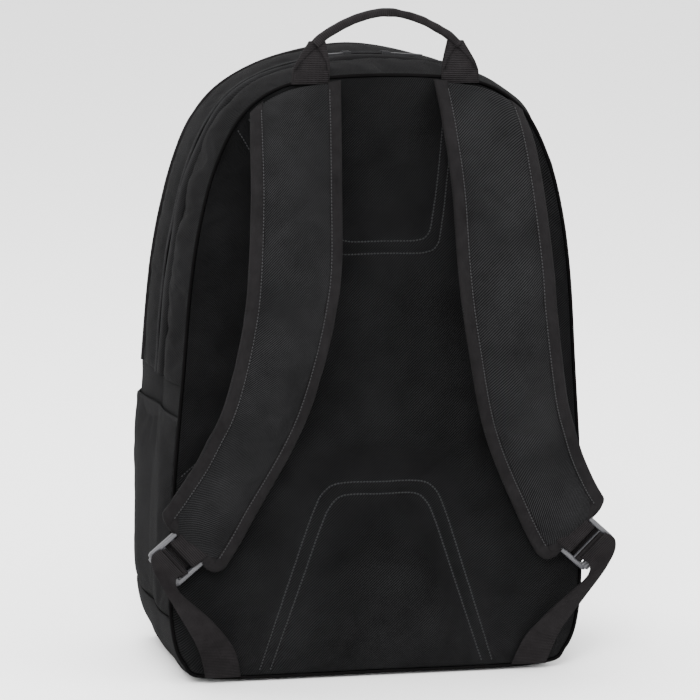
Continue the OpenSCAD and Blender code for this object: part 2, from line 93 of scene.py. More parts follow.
# Both edges of the right strap, in the middle of its thickness, and its webbing
STRAP_INNER = np.array([
    (34, -83, 437), (37, -99, 406), (40, -115, 364), (42, -126, 312), (46, -127, 278),
    (53, -124, 242), (61, -117, 209), (70, -109, 182), (82, -101, 155), (95, -95, 129),
    (107, -92, 105), (122, -89, 80),
]) * MM
STRAP_OUTER = np.array([
    (100, -83, 414), (104, -104, 392), (107, -122, 357), (111, -135, 308), (114, -136, 276),
    (120, -132, 239), (127, -125, 208), (135, -117, 187), (143, -110, 168), (151, -104, 153),
    (158, -100, 141), (166, -98, 129),
]) * MM
STRAP_END = len(STRAP_INNER) - 1
WEBBING_ROUTE = np.array([
    (115, -79, 5), (118, -84, 17), (124, -89, 32), (139, -97, 54), (154, -102, 73),
    (162, -102, 84), (163, -99.5, 92), (157, -96.8, 96),
]) * MM
WEBBING_SIDES = np.array([
    (1, 0, 0), (1, 0.02, 0), (0.98, 0.1, 0.05), (0.9, 0.1, 0.25), (0.8, -0.05, 0.5),
    (0.72, -0.1, 0.66), (0.68, -0.13, 0.72), (0.667, -0.13, 0.742),
])
LOCK_POS = Vector((144.5, -93.5, 104.5)) * MM
LOCK_BAR = Vector((44, -9, 49)).normalized()
LOCK_OUT = Vector((0.742, 0.06, -0.667))

# Rows of quilting on the right half of the back, as points the thread passes, in millimetres
QUILTING = {
    "upper_inner": [(0, 321), (24, 321), (33, 325), (36.5, 338), (41, 378), (45, 437)],
    "upper_outer": [(0, 312), (30, 312), (40, 317), (43.5, 332), (48, 378), (52, 436)],
    "lower_outer": [(0, 145), (27, 145), (40, 140), (49, 124), (66, 74), (88, 7)],
    "lower_inner": [(0, 136), (24, 136), (34, 131), (42, 116), (58, 70), (80, 7)],
    "side_outer": [
        (108, 404), (90, 370), (79, 318), (79, 262), (89, 217), (105, 190), (122, 176),
        (135, 163), (148, 152),
    ],
    "side_inner": [
        (100, 412), (82, 372), (70, 318), (70, 260), (81, 208), (98, 181), (115, 165),
        (128, 152), (149, 142),
    ],
}


class BackpackSizes(bpy.types.PropertyGroup):
    """Sizes of the cloth, padding and thread."""

    quilt_puff: bpy.props.FloatProperty(
        name="Quilt Puff", description="How far the back swells between its rows of stitching",
        default=0.005, min=0.001, max=0.008, unit="LENGTH",
    )
    canvas_thickness: bpy.props.FloatProperty(
        name="Canvas Thickness", description="Thickness of the canvas",
        default=0.0012, min=0.0006, max=0.002, unit="LENGTH",
    )
    strap_border: bpy.props.FloatProperty(
        name="Strap Border", description="Width of the bound border along a shoulder strap",
        default=0.010, min=0.006, max=0.014, unit="LENGTH",
    )
    webbing_width: bpy.props.FloatProperty(
        name="Webbing Width", description="Width of the webbing",
        default=0.026, min=0.020, max=0.030, unit="LENGTH",
    )
    webbing_thickness: bpy.props.FloatProperty(
        name="Webbing Thickness", description="Thickness of the webbing",
        default=0.0016, min=0.001, max=0.0025, unit="LENGTH",
    )
    stitch_pitch: bpy.props.FloatProperty(
        name="Stitch Pitch", description="Distance from one stitch to the next",
        default=0.0024, min=0.0018, max=0.006, unit="LENGTH",
    )
    thread_thickness: bpy.props.FloatProperty(
        name="Thread Thickness", description="Thickness of the sewing thread",
        default=0.0009, min=0.0003, max=0.0012, unit="LENGTH",
    )


def colour_property(name, description, default):
    """A linear colour that the user can change."""
    return bpy.props.FloatVectorProperty(
        name=name, description=description, default=default, size=3, min=0, max=1, subtype="COLOR"
    )


class BackpackColours(bpy.types.PropertyGroup):
    """Colours of the finishes."""

    canvas: colour_property("Canvas", "Colour of the canvas", (0.0072, 0.0072, 0.0075))
    webbing: colour_property("Webbing", "Colour of the webbing", (0.0092, 0.0083, 0.0087))
    binding: colour_property("Binding", "Colour of the bound edges", (0.0078, 0.0073, 0.0076))
    thread: colour_property("Thread", "Colour of the sewing thread", (0.024, 0.024, 0.025))
    lining: colour_property("Lining", "Colour of the lining", (0.020, 0.020, 0.023))
    metal: colour_property("Slider", "Colour of the painted sliders", (0.010, 0.010, 0.011))
    coil: colour_property("Coil", "Colour of the zip coils", (0.009, 0.009, 0.010))
    plastic: colour_property("Buckle", "Colour of the buckles", (0.022, 0.022, 0.025))


# ---- curves and outlines ----


def catmull(points, u, mirrored=False):
    """Points of the smooth curve through points, at places u counted in its points."""
    points = np.asarray(points, float)
    u = np.atleast_1d(np.asarray(u, float))
    if mirrored:
        first, last = points[1] * (-1, 1), points[-2] * (-1, 1)
    else:
        first, last = 2 * points[0] - points[1], 2 * points[-1] - points[-2]
    padded = np.vstack([first, points, last])
    i = np.clip(np.floor(u).astype(int), 0, len(points) - 2)
    t = (u - i)[:, None]
    a, b, c, d = (padded[i + k] for k in range(4))
    square, cube = 2 * a - 5 * b + 4 * c - d, 3 * b - a - 3 * c + d
    return 0.5 * (2 * b + (c - a) * t + square * t**2 + cube * t**3)


def unit(v):
    """Vectors of length 1."""
    return v / np.maximum(np.linalg.norm(v, axis=-1, keepdims=True), 1e-12)


def smooth(t):
    """Eases from 0 to 1."""
    t = np.clip(t, 0, 1)
    return t * t * (3 - 2 * t)


def outline(half, u):
    """Points of the body's outline in X and Z: u below 0 is the left side."""
    u = (np.asarray(u, float) + U_END) % (2 * U_END) - U_END
    p = catmull(half, np.abs(u), mirrored=True)
    p[:, 0] *= np.where(u < 0, -1, 1)
    return p


def outline_normal(half, u):
    """Outward direction at places round an outline."""
    d = outline(half, u + 0.05) - outline(half, u - 0.05)
    return unit(np.stack([-d[:, 1], d[:, 0]], 1))


def puff(y):
    """How far each strip of canvas bulges out, or curves in towards the front panel."""
    rear = 0.003 * np.sin(np.pi * (y - BACK_Y) / (ZIP_Y - BACK_Y))
    middle = 0.002 * np.sin(np.pi * (y - ZIP_Y) / (RIDGE_Y - ZIP_Y))
    edge = -0.007 * ((y - RIDGE_Y) / (FRONT_Y - RIDGE_Y)) ** 2
    return np.where(y < ZIP_Y, rear, np.where(y < RIDGE_Y, middle, edge))


def skin(u, y, out=0.0):
    """Grid of points on the body's skin, at places u round the outline and depths y."""
    u, y = np.asarray(u, float), np.asarray(y, float)
    share = np.clip((y - BACK_Y) / (RIDGE_Y - BACK_Y), 0, 1)[None, :, None]
    p = outline(BACK_HALF, u)[:, None] * (1 - share) + outline(FRONT_HALF, u)[:, None] * share
    n = outline_normal(BACK_HALF, u)[:, None]
    p = p + n * (puff(y)[None, :] + out)[..., None]
    depth = np.broadcast_to(y, p.shape[:2])
    return np.stack([p[..., 0], depth, p[..., 1]], -1)


def even(points, n):
    """n points evenly spaced along a line of points."""
    points = np.asarray(points, float)
    length = np.concatenate([[0], np.cumsum(np.linalg.norm(np.diff(points, axis=0), axis=1))])
    at = np.linspace(0, length[-1], n)
    return np.stack([np.interp(at, length, points[:, k]) for k in range(points.shape[1])], 1)


def even_places(u0, u1, n, half=FRONT_HALF):
    """Places along an outline from u0 to u1, evenly spaced by length."""
    u = np.linspace(u0, u1, 600)
    p = outline(half, u)
    length = np.concatenate([[0], np.cumsum(np.linalg.norm(np.diff(p, axis=0), axis=1))])
    return np.interp(np.linspace(0, length[-1], n), length, u)


def inset(half, u, depth):
    """The outline moved inwards by depth."""
    return outline(half, u) - outline_normal(BACK_HALF, u) * depth


def filled_outline(half, depth, columns, rows, dense):
    """Grid of points, x and z, that fills an outline moved inwards by depth."""
    side = U_LOW_CORNER - U_TOP_CORNER
    places = (
        (-U_LOW_CORNER - np.linspace(0, U_TOP_CORNER, dense), columns),
        (np.linspace(-U_TOP_CORNER, U_TOP_CORNER, dense), columns),
        (np.linspace(-U_LOW_CORNER, -U_TOP_CORNER, dense), rows),
        (U_LOW_CORNER - np.linspace(0, side, dense), rows),
    )
    return coons(*(even(inset(half, u, depth), count) for u, count in places))


def coons(bottom, top, left, right):
    """Grid of points that fills four joined edges: rows from bottom to top, columns left to right."""
    m, n = len(left), len(bottom)
    t, s = np.linspace(0, 1, m)[:, None, None], np.linspace(0, 1, n)[None, :, None]
    across = (1 - t) * bottom[None] + t * top[None]
    upwards = (1 - s) * left[:, None] + s * right[:, None]
    corners = (
        (1 - s) * (1 - t) * bottom[0] + s * (1 - t) * bottom[-1]
        + (1 - s) * t * top[0] + s * t * top[-1]
    )
    return across + upwards - corners


def ripple(points, wavelength, seed, waves=7):
    """Smooth unevenness from -1 to 1 at each point, the same on every run."""
    rng = np.random.default_rng(seed)
    directions = unit(rng.normal(size=(waves, 3)))
    stretch = rng.uniform(0.6, 1.6, waves)
    phases = rng.uniform(0, 2 * np.pi, waves)
    total = np.zeros(points.shape[:-1])
    for direction, k, phase in zip(directions, stretch, phases):
        total += np.sin(points @ direction * 2 * np.pi / wavelength * k + phase)
    return total / math.sqrt(waves * 2)


def distance_to(points, lines):
    """Distance from each point to the nearest of many dense lines of points."""
    flat = points.reshape(-1, points.shape[-1])
    targets = np.vstack(lines)
    nearest = np.full(len(flat), np.inf)
    for start in range(0, len(flat), 4000):
        part = flat[start : start + 4000, None] - targets[None]
        nearest[start : start + 4000] = np.sqrt((part**2).sum(-1).min(1))
    return nearest.reshape(points.shape[:-1])


# ---- mesh helpers ----


def deselect_all():
    """Leaves nothing selected."""
    if bpy.context.object and bpy.context.object.mode != "OBJECT":
        bpy.ops.object.mode_set(mode="OBJECT")
    bpy.ops.object.select_all(action="DESELECT")


def select_only(*pieces):
    """Selects these pieces and nothing else, the first of them active."""
    deselect_all()
    for piece in pieces:
        piece.select_set(True)
    bpy.context.view_layer.objects.active = pieces[0]


def join_pieces(pieces, name):
    """Makes one piece of several."""
    select_only(*pieces)
    bpy.ops.object.join()
    pieces[0].name = pieces[0].data.name = name
    return pieces[0]


def face_out(piece):
    """Turns every face of a closed piece outwards."""
    select_only(piece)
    bpy.ops.object.mode_set(mode="EDIT")
    bpy.ops.mesh.select_all(action="SELECT")
    bpy.ops.mesh.normals_make_consistent(inside=False)
    bpy.ops.object.mode_set(mode="OBJECT")


def grid_piece(name, points, closed_along=False, closed_across=False, flip=False, capped=False):
    """A mesh over a grid of points, with a UV map in metres along and across it."""
    rows, columns = points.shape[:2]
    i, j = np.meshgrid(
        np.arange(rows if closed_along else rows - 1),
        np.arange(columns if closed_across else columns - 1), indexing="ij",
    )
    i, j = i.ravel(), j.ravel()
    i2, j2 = i + 1, j + 1
    corner_i = np.stack([i, i, i2, i2], 1)
    corner_j = np.stack([j, j2, j2, j], 1)
    if flip:
        corner_i, corner_j = corner_i[:, ::-1], corner_j[:, ::-1]
    faces = ((corner_i % rows) * columns + corner_j % columns).tolist()
    if capped:
        first, last = list(range(columns)), list(range((rows - 1) * columns, rows * columns))
        faces += [first if flip else first[::-1], last[::-1] if flip else last]
    mesh = bpy.data.meshes.new(name)
    mesh.from_pydata(points.reshape(-1, 3).tolist(), [], faces)

    def lengths(p, closed):
        step = np.linalg.norm(np.diff(p, axis=0), axis=-1).mean(1)
        if closed:
            step = np.append(step, np.linalg.norm(p[0] - p[-1], axis=-1).mean())
        return np.concatenate([[0], np.cumsum(step), [0]])

    along = lengths(points, closed_along)
    across = lengths(points.swapaxes(0, 1), closed_across)
    uv = np.zeros((len(mesh.loops), 2))
    quads = np.stack([across[corner_j.ravel()], along[corner_i.ravel()]], 1)
    uv[: len(quads)] = quads
    mesh.uv_layers.new(name="cloth").data.foreach_set("uv", uv.ravel())
    mesh.polygons.foreach_set("use_smooth", np.ones(len(mesh.polygons), bool))
    piece = bpy.data.objects.new(name, mesh)
    bpy.context.scene.collection.objects.link(piece)
    return piece


def turn_weave(piece):
    """Mirrors the cloth's UV map, so that its twill leans the other way."""
    layer = piece.data.uv_layers["cloth"].data
    uv = np.zeros(len(layer) * 2)
    layer.foreach_get("uv", uv)
    uv[::2] *= -1
    layer.foreach_set("uv", uv)


def coordinates(piece):
    """Every point of a mesh, one row each."""
    co = np.zeros(len(piece.data.vertices) * 3)
    piece.data.vertices.foreach_get("co", co)
    return co.reshape(-1, 3)


def set_coordinates(piece, co):
    """Puts every point of a mesh in a new place."""
    piece.data.vertices.foreach_set("co", np.asarray(co, float).ravel())
    piece.data.update()


def finish_with(piece, kind, **settings):
    """Adds a modifier and applies it."""
    modifier = piece.modifiers.new(kind, kind)
    for name, value in settings.items():
        setattr(modifier, name, value)
    select_only(piece)
    bpy.ops.object.modifier_apply(modifier=modifier.name)


def give_thickness(piece, thickness, rim=True):
    """Turns a sheet into cloth with a wall, its outer face where the sheet was."""
    finish_with(piece, "SOLIDIFY", thickness=thickness, offset=-1, use_rim=rim)


def subdivide(piece, levels=1):
    """Smooths a piece by dividing its faces."""
    finish_with(piece, "SUBSURF", levels=levels, render_levels=levels)


def settle(piece, pinned, pressure, slack, cap, frames=20, stiffness=12):
    """Lets cloth swell and crumple between its pinned points, each point staying within cap."""
    rest = coordinates(piece)
    group = piece.vertex_groups.new(name="pinned")
    group.add(np.flatnonzero(pinned).tolist(), 1.0, "REPLACE")
    modifier = piece.modifiers.new("Cloth", "CLOTH")
    cloth = modifier.settings
    cloth.quality = 5
    cloth.mass = 0.25
    cloth.tension_stiffness = stiffness
    cloth.compression_stiffness = stiffness
    cloth.shear_stiffness = stiffness / 3
    cloth.bending_stiffness = 0.4
    cloth.vertex_group_mass = "pinned"
    cloth.use_pressure = True
    cloth.uniform_pressure_force = pressure
    cloth.shrink_min = -slack
    cloth.effector_weights.gravity = 0
    modifier.collision_settings.use_collision = False
    modifier.collision_settings.use_self_collision = False
    modifier.point_cache.frame_start = 1
    modifier.point_cache.frame_end = frames
    for number in range(1, frames + 1):
        bpy.context.scene.frame_set(number)
    deselect_all()
    bpy.context.view_layer.objects.active = piece
    bpy.ops.object.modifier_apply(modifier=modifier.name)
    bpy.context.scene.frame_set(1)
    piece.vertex_groups.clear()
    move = coordinates(piece) - rest
    length = np.linalg.norm(move, axis=1, keepdims=True)
    set_coordinates(piece, rest + move * np.minimum(1, cap / np.maximum(length, 1e-9)))


def mark(piece, values, name="wear"):
    """Stores a number for the material at every point, or one number for them all."""
    attribute = piece.data.attributes.get(name) or piece.data.attributes.new(name, "FLOAT", "POINT")
    if np.ndim(values) == 0:
        values = np.full(len(piece.data.vertices), values)
    attribute.data.foreach_set("value", np.asarray(values, np.float32).ravel())


def paint(piece, material):
    """Gives a piece its material."""
    piece.data.materials.clear()
    piece.data.materials.append(material)


def mirror_points(points, side):
    """The right side's points, or their mirror image for the left."""
    return points if side > 0 else points * (-1, 1, 1)


def side_name(side):
    """The name of a side, -1 for left and 1 for right."""
    return "right" if side > 0 else "left"


def tube(name, centres, radius, sides=8, closed=True, up=(0, 1, 0)):
    """A round cord along a line of points, none of it along up."""
    centres = np.asarray(centres, float)
    if closed:
        ahead, behind = np.roll(centres, -1, 0), np.roll(centres, 1, 0)
    else:
        ahead = np.vstack([centres[1:], centres[-1:]])
        behind = np.vstack([centres[:1], centres[:-1]])
    along = unit(ahead - behind)
    side = unit(np.cross(along, up))
    other = np.cross(side, along)
    angle = np.linspace(0, 2 * np.pi, sides, endpoint=False)[None, :, None]
    ring = centres[:, None] + radius * (np.cos(angle) * side[:, None] + np.sin(angle) * other[:, None])
    return grid_piece(name, ring, closed_along=closed, closed_across=True, capped=not closed)


def surface_tree(pieces):
    """A search tree over the faces of some pieces."""
    vertices, faces = [], []
    for piece in pieces:
        start = len(vertices)
        vertices += [tuple(v.co) for v in piece.data.vertices]
        faces += [[start + k for k in p.vertices] for p in piece.data.polygons]
    return BVHTree.FromPolygons(vertices, faces)


def lay_on(tree, points, direction, reach=0.03):
    """Points dropped on a surface along direction, and the surface's normals there."""
    direction = np.broadcast_to(direction, points.shape)
    placed, normals = [], []
    for point, way in zip(points, unit(direction)):
        hit, normal, _, _ = tree.ray_cast(Vector(point - way * reach), Vector(way), 2 * reach)
        if hit is None:
            hit, normal, _, _ = tree.find_nearest(Vector(point))
        if normal.dot(Vector(way)) > 0:
            normal = -normal
        placed.append(hit)
        normals.append(normal)
    return np.array(placed), np.array(normals)


def stitches(name, runs, sizes):
    """One mesh of short threads along runs of (points, normals)."""
    radius, pitch = sizes.thread_thickness / 2, sizes.stitch_pitch
    half = pitch * 0.36
    rings = np.array([(-1, 0.35), (-0.7, 0.95), (0, 1.1), (0.7, 0.95), (1, 0.35)])
    sides = 6
    angle = np.linspace(0, 2 * np.pi, sides, endpoint=False)
    vertices, faces = [], []
    for points, normals in runs:
        length = np.concatenate([[0], np.cumsum(np.linalg.norm(np.diff(points, axis=0), axis=1))])
        places = np.linspace(0, length[-1], 2 * max(int(length[-1] / pitch), 1) + 1)
        line = np.stack([np.interp(places, length, points[:, k]) for k in range(3)], 1)
        lean = np.stack([np.interp(places, length, normals[:, k]) for k in range(3)], 1)
        centres, n = line[1::2], unit(lean[1::2])
        along = unit(line[2::2] - line[0:-1:2])
        across = unit(np.cross(along, n))
        for c, t, s, up in zip(centres, along, across, n):
            start = len(vertices)
            for place, width in rings:
                middle = c + t * half * place + up * radius * (0.7 - 0.9 * place * place)
                for a in angle:
                    vertices.append(middle + radius * width * (math.cos(a) * s + math.sin(a) * up))
            for r in range(len(rings) - 1):
                for k in range(sides):
                    a, b = start + r * sides + k, start + r * sides + (k + 1) % sides
                    faces.append((a, b, b + sides, a + sides))
            faces.append(tuple(start + k for k in range(sides))[::-1])
            faces.append(tuple(start + (len(rings) - 1) * sides + k for k in range(sides)))
    mesh = bpy.data.meshes.new(name)
    mesh.from_pydata(vertices, [], faces)
    mesh.polygons.foreach_set("use_smooth", np.ones(len(mesh.polygons), bool))
    piece = bpy.data.objects.new(name, mesh)
    bpy.context.scene.collection.objects.link(piece)
    face_out(piece)
    return piece


# ---- materials ----


class Nodes:
    """Short names for building a material's node tree."""

    def __init__(self, name):
        self.material = bpy.data.materials.new(name)
        self.material.use_nodes = True
        self.tree = self.material.node_tree
        self.shader = self.tree.nodes["Principled BSDF"]

    def put(self, kind, socket_values=(), **settings):
        node = self.tree.nodes.new(kind)
        for key, value in settings.items():
            setattr(node, key, value)
        for key, value in dict(socket_values).items():
            self.join(value, node.inputs[key])
        return node

    def join(self, value, socket):
        if isinstance(value, bpy.types.NodeSocket):
            self.tree.links.new(value, socket)
        else:
            socket.default_value = value

    def maths(self, operation, a, b=0.0):
        return self.put("ShaderNodeMath", {0: a, 1: b}, operation=operation).outputs[0]

    def noise(self, scale, detail=3.0, roughness=0.5):
        where = self.put("ShaderNodeTexCoord").outputs["Object"]
        values = {"Vector": where, "Scale": scale, "Detail": detail, "Roughness": roughness}
        return self.put("ShaderNodeTexNoise", values).outputs["Fac"]

    def ramp(self, value, stops):
        node = self.put("ShaderNodeValToRGB", {"Fac": value})
        elements = node.color_ramp.elements
        while len(elements) < len(stops):
            elements.new(0.5)
        for element, (place, colour) in zip(elements, stops):
            element.position = place
            element.color = (*colour, 1)
        return node.outputs["Color"]

    def mix(self, factor, a, b):
        node = self.put("ShaderNodeMix", data_type="RGBA")
        self.join(factor, node.inputs["Factor"])
        for value, socket in ((a, node.inputs[6]), (b, node.inputs[7])):
            self.join(value if isinstance(value, bpy.types.NodeSocket) else (*value, 1), socket)
        return node.outputs[2]


def yarns(nodes, weave, pitch):
    """Height of the weave, from 0 in its gaps to 1 on its yarns."""
    uv = nodes.put("ShaderNodeUVMap", uv_map="cloth").outputs["UV"]
    parts = nodes.put("ShaderNodeSeparateXYZ", {"Vector": uv})
    a = nodes.maths("MULTIPLY", parts.outputs["X"], math.pi / pitch)
    b = nodes.maths("MULTIPLY", parts.outputs["Y"], math.pi / pitch)
    if weave == "twill":
        ridge = nodes.maths("ABSOLUTE", nodes.maths("SINE", nodes.maths("ADD", a, b)))
        cross = nodes.maths("ABSOLUTE", nodes.maths("SINE", nodes.maths("SUBTRACT", a, b)))
        return nodes.maths("MULTIPLY", ridge, nodes.maths("MULTIPLY_ADD", cross, 0.45)), ridge
    if weave == "rib":
        ridge = nodes.maths("ABSOLUTE", nodes.maths("SINE", b))
        lean = nodes.maths("MULTIPLY", a, 0.62)
        cross = nodes.maths("ABSOLUTE", nodes.maths("SINE", nodes.maths("ADD", lean, b)))
        return nodes.maths("MULTIPLY", ridge, nodes.maths("MULTIPLY_ADD", cross, 0.6)), ridge
    over = nodes.maths("MULTIPLY", nodes.maths("SINE", a), nodes.maths("SINE", b))
    height = nodes.maths("MULTIPLY_ADD", over, 0.5)
    return height, height


def cloth_material(name, colour, weave, pitch, bump, roughness, sheen, variation=0.35):
    """Woven cloth: yarns from the UV map, fuzz, uneven dye, painted shade between the yarns, a paler
    tone for abrasion and painted highlight where it is marked, and painted shade along marked seams.
    """
    nodes = Nodes(name)
    height, ridge = yarns(nodes, weave, pitch)
    fuzz = nodes.noise(2600.0, 2.0)
    clouds = nodes.noise(22.0, 4.0, 0.6)
    wear = nodes.put("ShaderNodeAttribute", attribute_name="wear").outputs["Fac"]
    scuff_and_highlight_noise = nodes.noise(140.0, 4.0, 0.65)
    dark = tuple(c * (1 - variation) for c in colour)
    light = tuple(min(c * (1 + variation * 1.4), 1) for c in colour)
    dyed = nodes.ramp(clouds, [(0.25, dark), (0.75, light)])
    # The colour between the yarns darkened to 0.12 of it: painted shade in the weave's hollows.
    gap_shade = tuple(c * 0.12 for c in colour)
    strength = nodes.maths("MULTIPLY_ADD", nodes.maths("POWER", ridge, 1.8), 1.0)
    strength.node.inputs[2].default_value = 0.05
    woven = nodes.mix(strength, gap_shade, dyed)
    # Paler colour mixed in where the attribute above is marked, broken up by noise: partly abrasion,
    # partly painted highlight on edges, rims and crests.
    worn_and_lit_colour = tuple(min(c * 2.3 + 0.004, 1) for c in colour)
    wear_and_highlight_amount = nodes.maths("MULTIPLY", wear, nodes.maths("POWER", scuff_and_highlight_noise, 1.5))
    # Where the seam mark is set the colour is mixed towards near black: painted shade along seams and
    # in the grooves between parts.
    seam = nodes.put("ShaderNodeAttribute", attribute_name="seam").outputs["Fac"]
    shaded = nodes.mix(seam, nodes.mix(wear_and_highlight_amount, woven, worn_and_lit_colour), tuple(c * 0.08 for c in colour))
    nodes.join(shaded, nodes.shader.inputs["Base Color"])
    rough = nodes.maths("MULTIPLY_ADD", fuzz, 0.16)
    rough.node.inputs[2].default_value = roughness - 0.1
    nodes.join(rough, nodes.shader.inputs["Roughness"])
    nodes.shader.inputs["Sheen Weight"].default_value = sheen
    nodes.shader.inputs["Sheen Roughness"].default_value = 0.45
    nodes.shader.inputs["Specular IOR Level"].default_value = 0.012
    total = nodes.maths("ADD", height, nodes.maths("MULTIPLY", fuzz, 0.35))
    bumps = nodes.put(
        "ShaderNodeBump", {"Strength": bump, "Distance": pitch * 0.35, "Height": total}
    )
    nodes.join(bumps.outputs["Normal"], nodes.shader.inputs["Normal"])
    return nodes.material


def moulded_material(name, colour, roughness, grain, shine):
    """Moulded plastic or painted metal: a fine grain, smudges, and scuffed paler spots."""
    nodes = Nodes(name)
    smudge = nodes.noise(90.0, 4.0, 0.6)
    speck = nodes.noise(grain, 2.0)
    dark = tuple(c * 0.8 for c in colour)
    pale = tuple(min(c * 1.5 + 0.004, 1) for c in colour)
    nodes.join(nodes.ramp(smudge, [(0.35, dark), (0.8, pale)]), nodes.shader.inputs["Base Color"])
    rough = nodes.maths("MULTIPLY_ADD", smudge, 0.25)
    rough.node.inputs[2].default_value = roughness - 0.12
    nodes.join(rough, nodes.shader.inputs["Roughness"])
    nodes.shader.inputs["Specular IOR Level"].default_value = shine
    bumps = nodes.put("ShaderNodeBump", {"Strength": 0.15, "Distance": 0.0002, "Height": speck})
    nodes.join(bumps.outputs["Normal"], nodes.shader.inputs["Normal"])
    return nodes.material


def thread_material(name, colour):
    """Twisted sewing thread."""
    nodes = Nodes(name)
    twist = nodes.noise(1800.0, 2.0)
    dark = tuple(c * 0.6 for c in colour)
    nodes.join(nodes.ramp(twist, [(0.3, dark), (0.7, colour)]), nodes.shader.inputs["Base Color"])
    nodes.shader.inputs["Roughness"].default_value = 0.7
    nodes.shader.inputs["Specular IOR Level"].default_value = 0.1
    bumps = nodes.put("ShaderNodeBump", {"Strength": 0.4, "Distance": 0.0002, "Height": twist})
    nodes.join(bumps.outputs["Normal"], nodes.shader.inputs["Normal"])
    return nodes.material


# Each cloth: its colour, how much brighter than that colour, weave, pitch, bump, roughness, sheen
CLOTHS = {
    "canvas": ("canvas", 1.0, "twill", 0.0020, 1.0, 0.88, 0.003),
    # The strap pads: the canvas colour made 1.6 times lighter, painted light on the straps.
    "strap_canvas": ("canvas", 1.6, "twill", 0.0020, 1.0, 0.88, 0.003),
    "side_canvas": ("canvas", 1.0, "twill", 0.0020, 0.7, 0.88, 0.008),
    "webbing": ("webbing", 1.0, "rib", 0.0014, 0.9, 0.8, 0.006),
    "binding": ("binding", 1.0, "twill", 0.0011, 0.6, 0.8, 0.006),
    "lining": ("lining", 1.0, "plain", 0.0007, 0.3, 0.7, 0.02),
    "zip_tape": ("binding", 1.0, "rib", 0.0009, 0.5, 0.8, 0.01),
}
# Each moulding: its colour, roughness, grain and shine
MOULDINGS = {
    "coil": ("coil", 0.5, 900.0, 0.2),
    "slider": ("metal", 0.62, 1500.0, 0.15),
    "buckle": ("plastic", 0.4, 900.0, 0.5),
}
FINISHES = {}


def finish(name, context):
    """The material of that name, made when first asked for."""
    colours = context.scene.backpack_colours
    if name in FINISHES:
        return FINISHES[name]
    if name in CLOTHS:
        colour, brighter, *rest = CLOTHS[name]
        tone = tuple(brighter * c for c in getattr(colours, colour))
        FINISHES[name] = cloth_material(name, tone, *rest)
    elif name in MOULDINGS:
        colour, *rest = MOULDINGS[name]
        FINISHES[name] = moulded_material(name, tuple(getattr(colours, colour)), *rest)
    else:
        FINISHES[name] = thread_material(name, tuple(colours.thread))
    return FINISHES[name]


# ---- pieces ----


def quilting_rows():
    """Every row of quilting on both halves, as dense lines in X and Z."""
    rows = []
    for name, points in QUILTING.items():
        right = even(catmull(points, np.linspace(0, len(points) - 1, 200)), 300) * MM
        left = right * (-1, 1)
        if name.startswith("side"):
            rows += [right, left]
        else:
            rows.append(np.vstack([left[::-1], right[1:]]))
    return rows


class BACKPACK_OT_back_panel(bpy.types.Operator):
    """Quilted back panel with its rows of stitching and the piping round its seam"""

    bl_idname = "backpack.back_panel"
    bl_label = "Back Panel"

    def execute(self, context):
        sizes = context.scene.backpack_sizes
        flat = filled_outline(BACK_HALF, BACK_INSET, columns=104, rows=150, dense=400)
        rows = quilting_rows()
        loop = inset(BACK_HALF, np.linspace(-U_END, U_END, 1600), BACK_INSET)
        points = np.stack([flat[..., 0], np.full(flat.shape[:2], BACK_Y - 0.0016), flat[..., 1]], -1)
        gap = distance_to(flat, [*rows, loop])
        points[..., 1] -= sizes.quilt_puff * (1 - np.exp(-((gap / 0.011) ** 1.3)))
        cover = grid_piece("back_cover", points)
        settle(cover, (gap < 0.0016).ravel(), pressure=1.6, slack=0.012, cap=0.0022)
        subdivide(cover)
        co = coordinates(cover)
        gap = distance_to(co[:, [0, 2]], rows)
        edge_gap = distance_to(co[:, [0, 2]], [loop])
        groove = 0.0007 * np.exp(-((gap / 0.0016) ** 2))
        pucker = 0.00035 * np.exp(-gap / 0.006) * ripple(co, 0.011, 3)
        seam_pucker = 0.0006 * np.exp(-edge_gap / 0.012) * ripple(co, 0.018, 5)
        co[:, 1] += groove + (pucker + seam_pucker) * smooth(edge_gap / 0.002)
        set_coordinates(cover, co)
        mark(cover, 0.25 * np.exp(-gap / 0.004) + 0.3 * smooth((0.09 - co[:, 2]) / 0.08))
        tree = surface_tree([cover])
        self.close_back(cover)
        turn_weave(cover)
        paint(cover, finish("canvas", context))
        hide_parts("back_panel", "back_foam")
        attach(cover, "pack")

        runs = []
        for row in rows:
            spread = np.stack([row[:, 0], np.full(len(row), BACK_Y), row[:, 1]], 1)
            runs.append(lay_on(tree, spread[2:-2], (0, 1, 0)))
        thread = stitches("back_stitching", runs, sizes)
        paint(thread, finish("thread", context))
        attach(thread, "pack")

        u = even_places(-U_END, U_END, 520)[:-1]
        ring = outline(BACK_HALF, u) + outline_normal(BACK_HALF, u) * 0.0006
        centres = np.stack([ring[:, 0], np.full(len(u), BACK_Y - 0.0012), ring[:, 1]], 1)
        piping = tube("back_piping", centres, 0.0012)
        # The piping darkened: painted shade in the groove of the back seam.
        mark(piping, 0.6, "seam")
        paint(piping, finish("binding", context))
        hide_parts("rear_piping")
        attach(piping, "pack")
        return {"FINISHED"}

    def close_back(self, cover):
        """Closes the pad behind the cover with one flat face."""
        select_only(cover)
        bpy.ops.object.mode_set(mode="EDIT")
        bpy.ops.mesh.select_mode(type="EDGE")
        bpy.ops.mesh.select_all(action="DESELECT")
        bpy.ops.mesh.select_non_manifold()
        bpy.ops.mesh.extrude_region_move(TRANSFORM_OT_translate={"value": (0, 0.004, 0)})
        bpy.ops.mesh.edge_face_add()
        bpy.ops.mesh.select_all(action="SELECT")
        bpy.ops.mesh.normals_make_consistent(inside=False)
        bpy.ops.object.mode_set(mode="OBJECT")


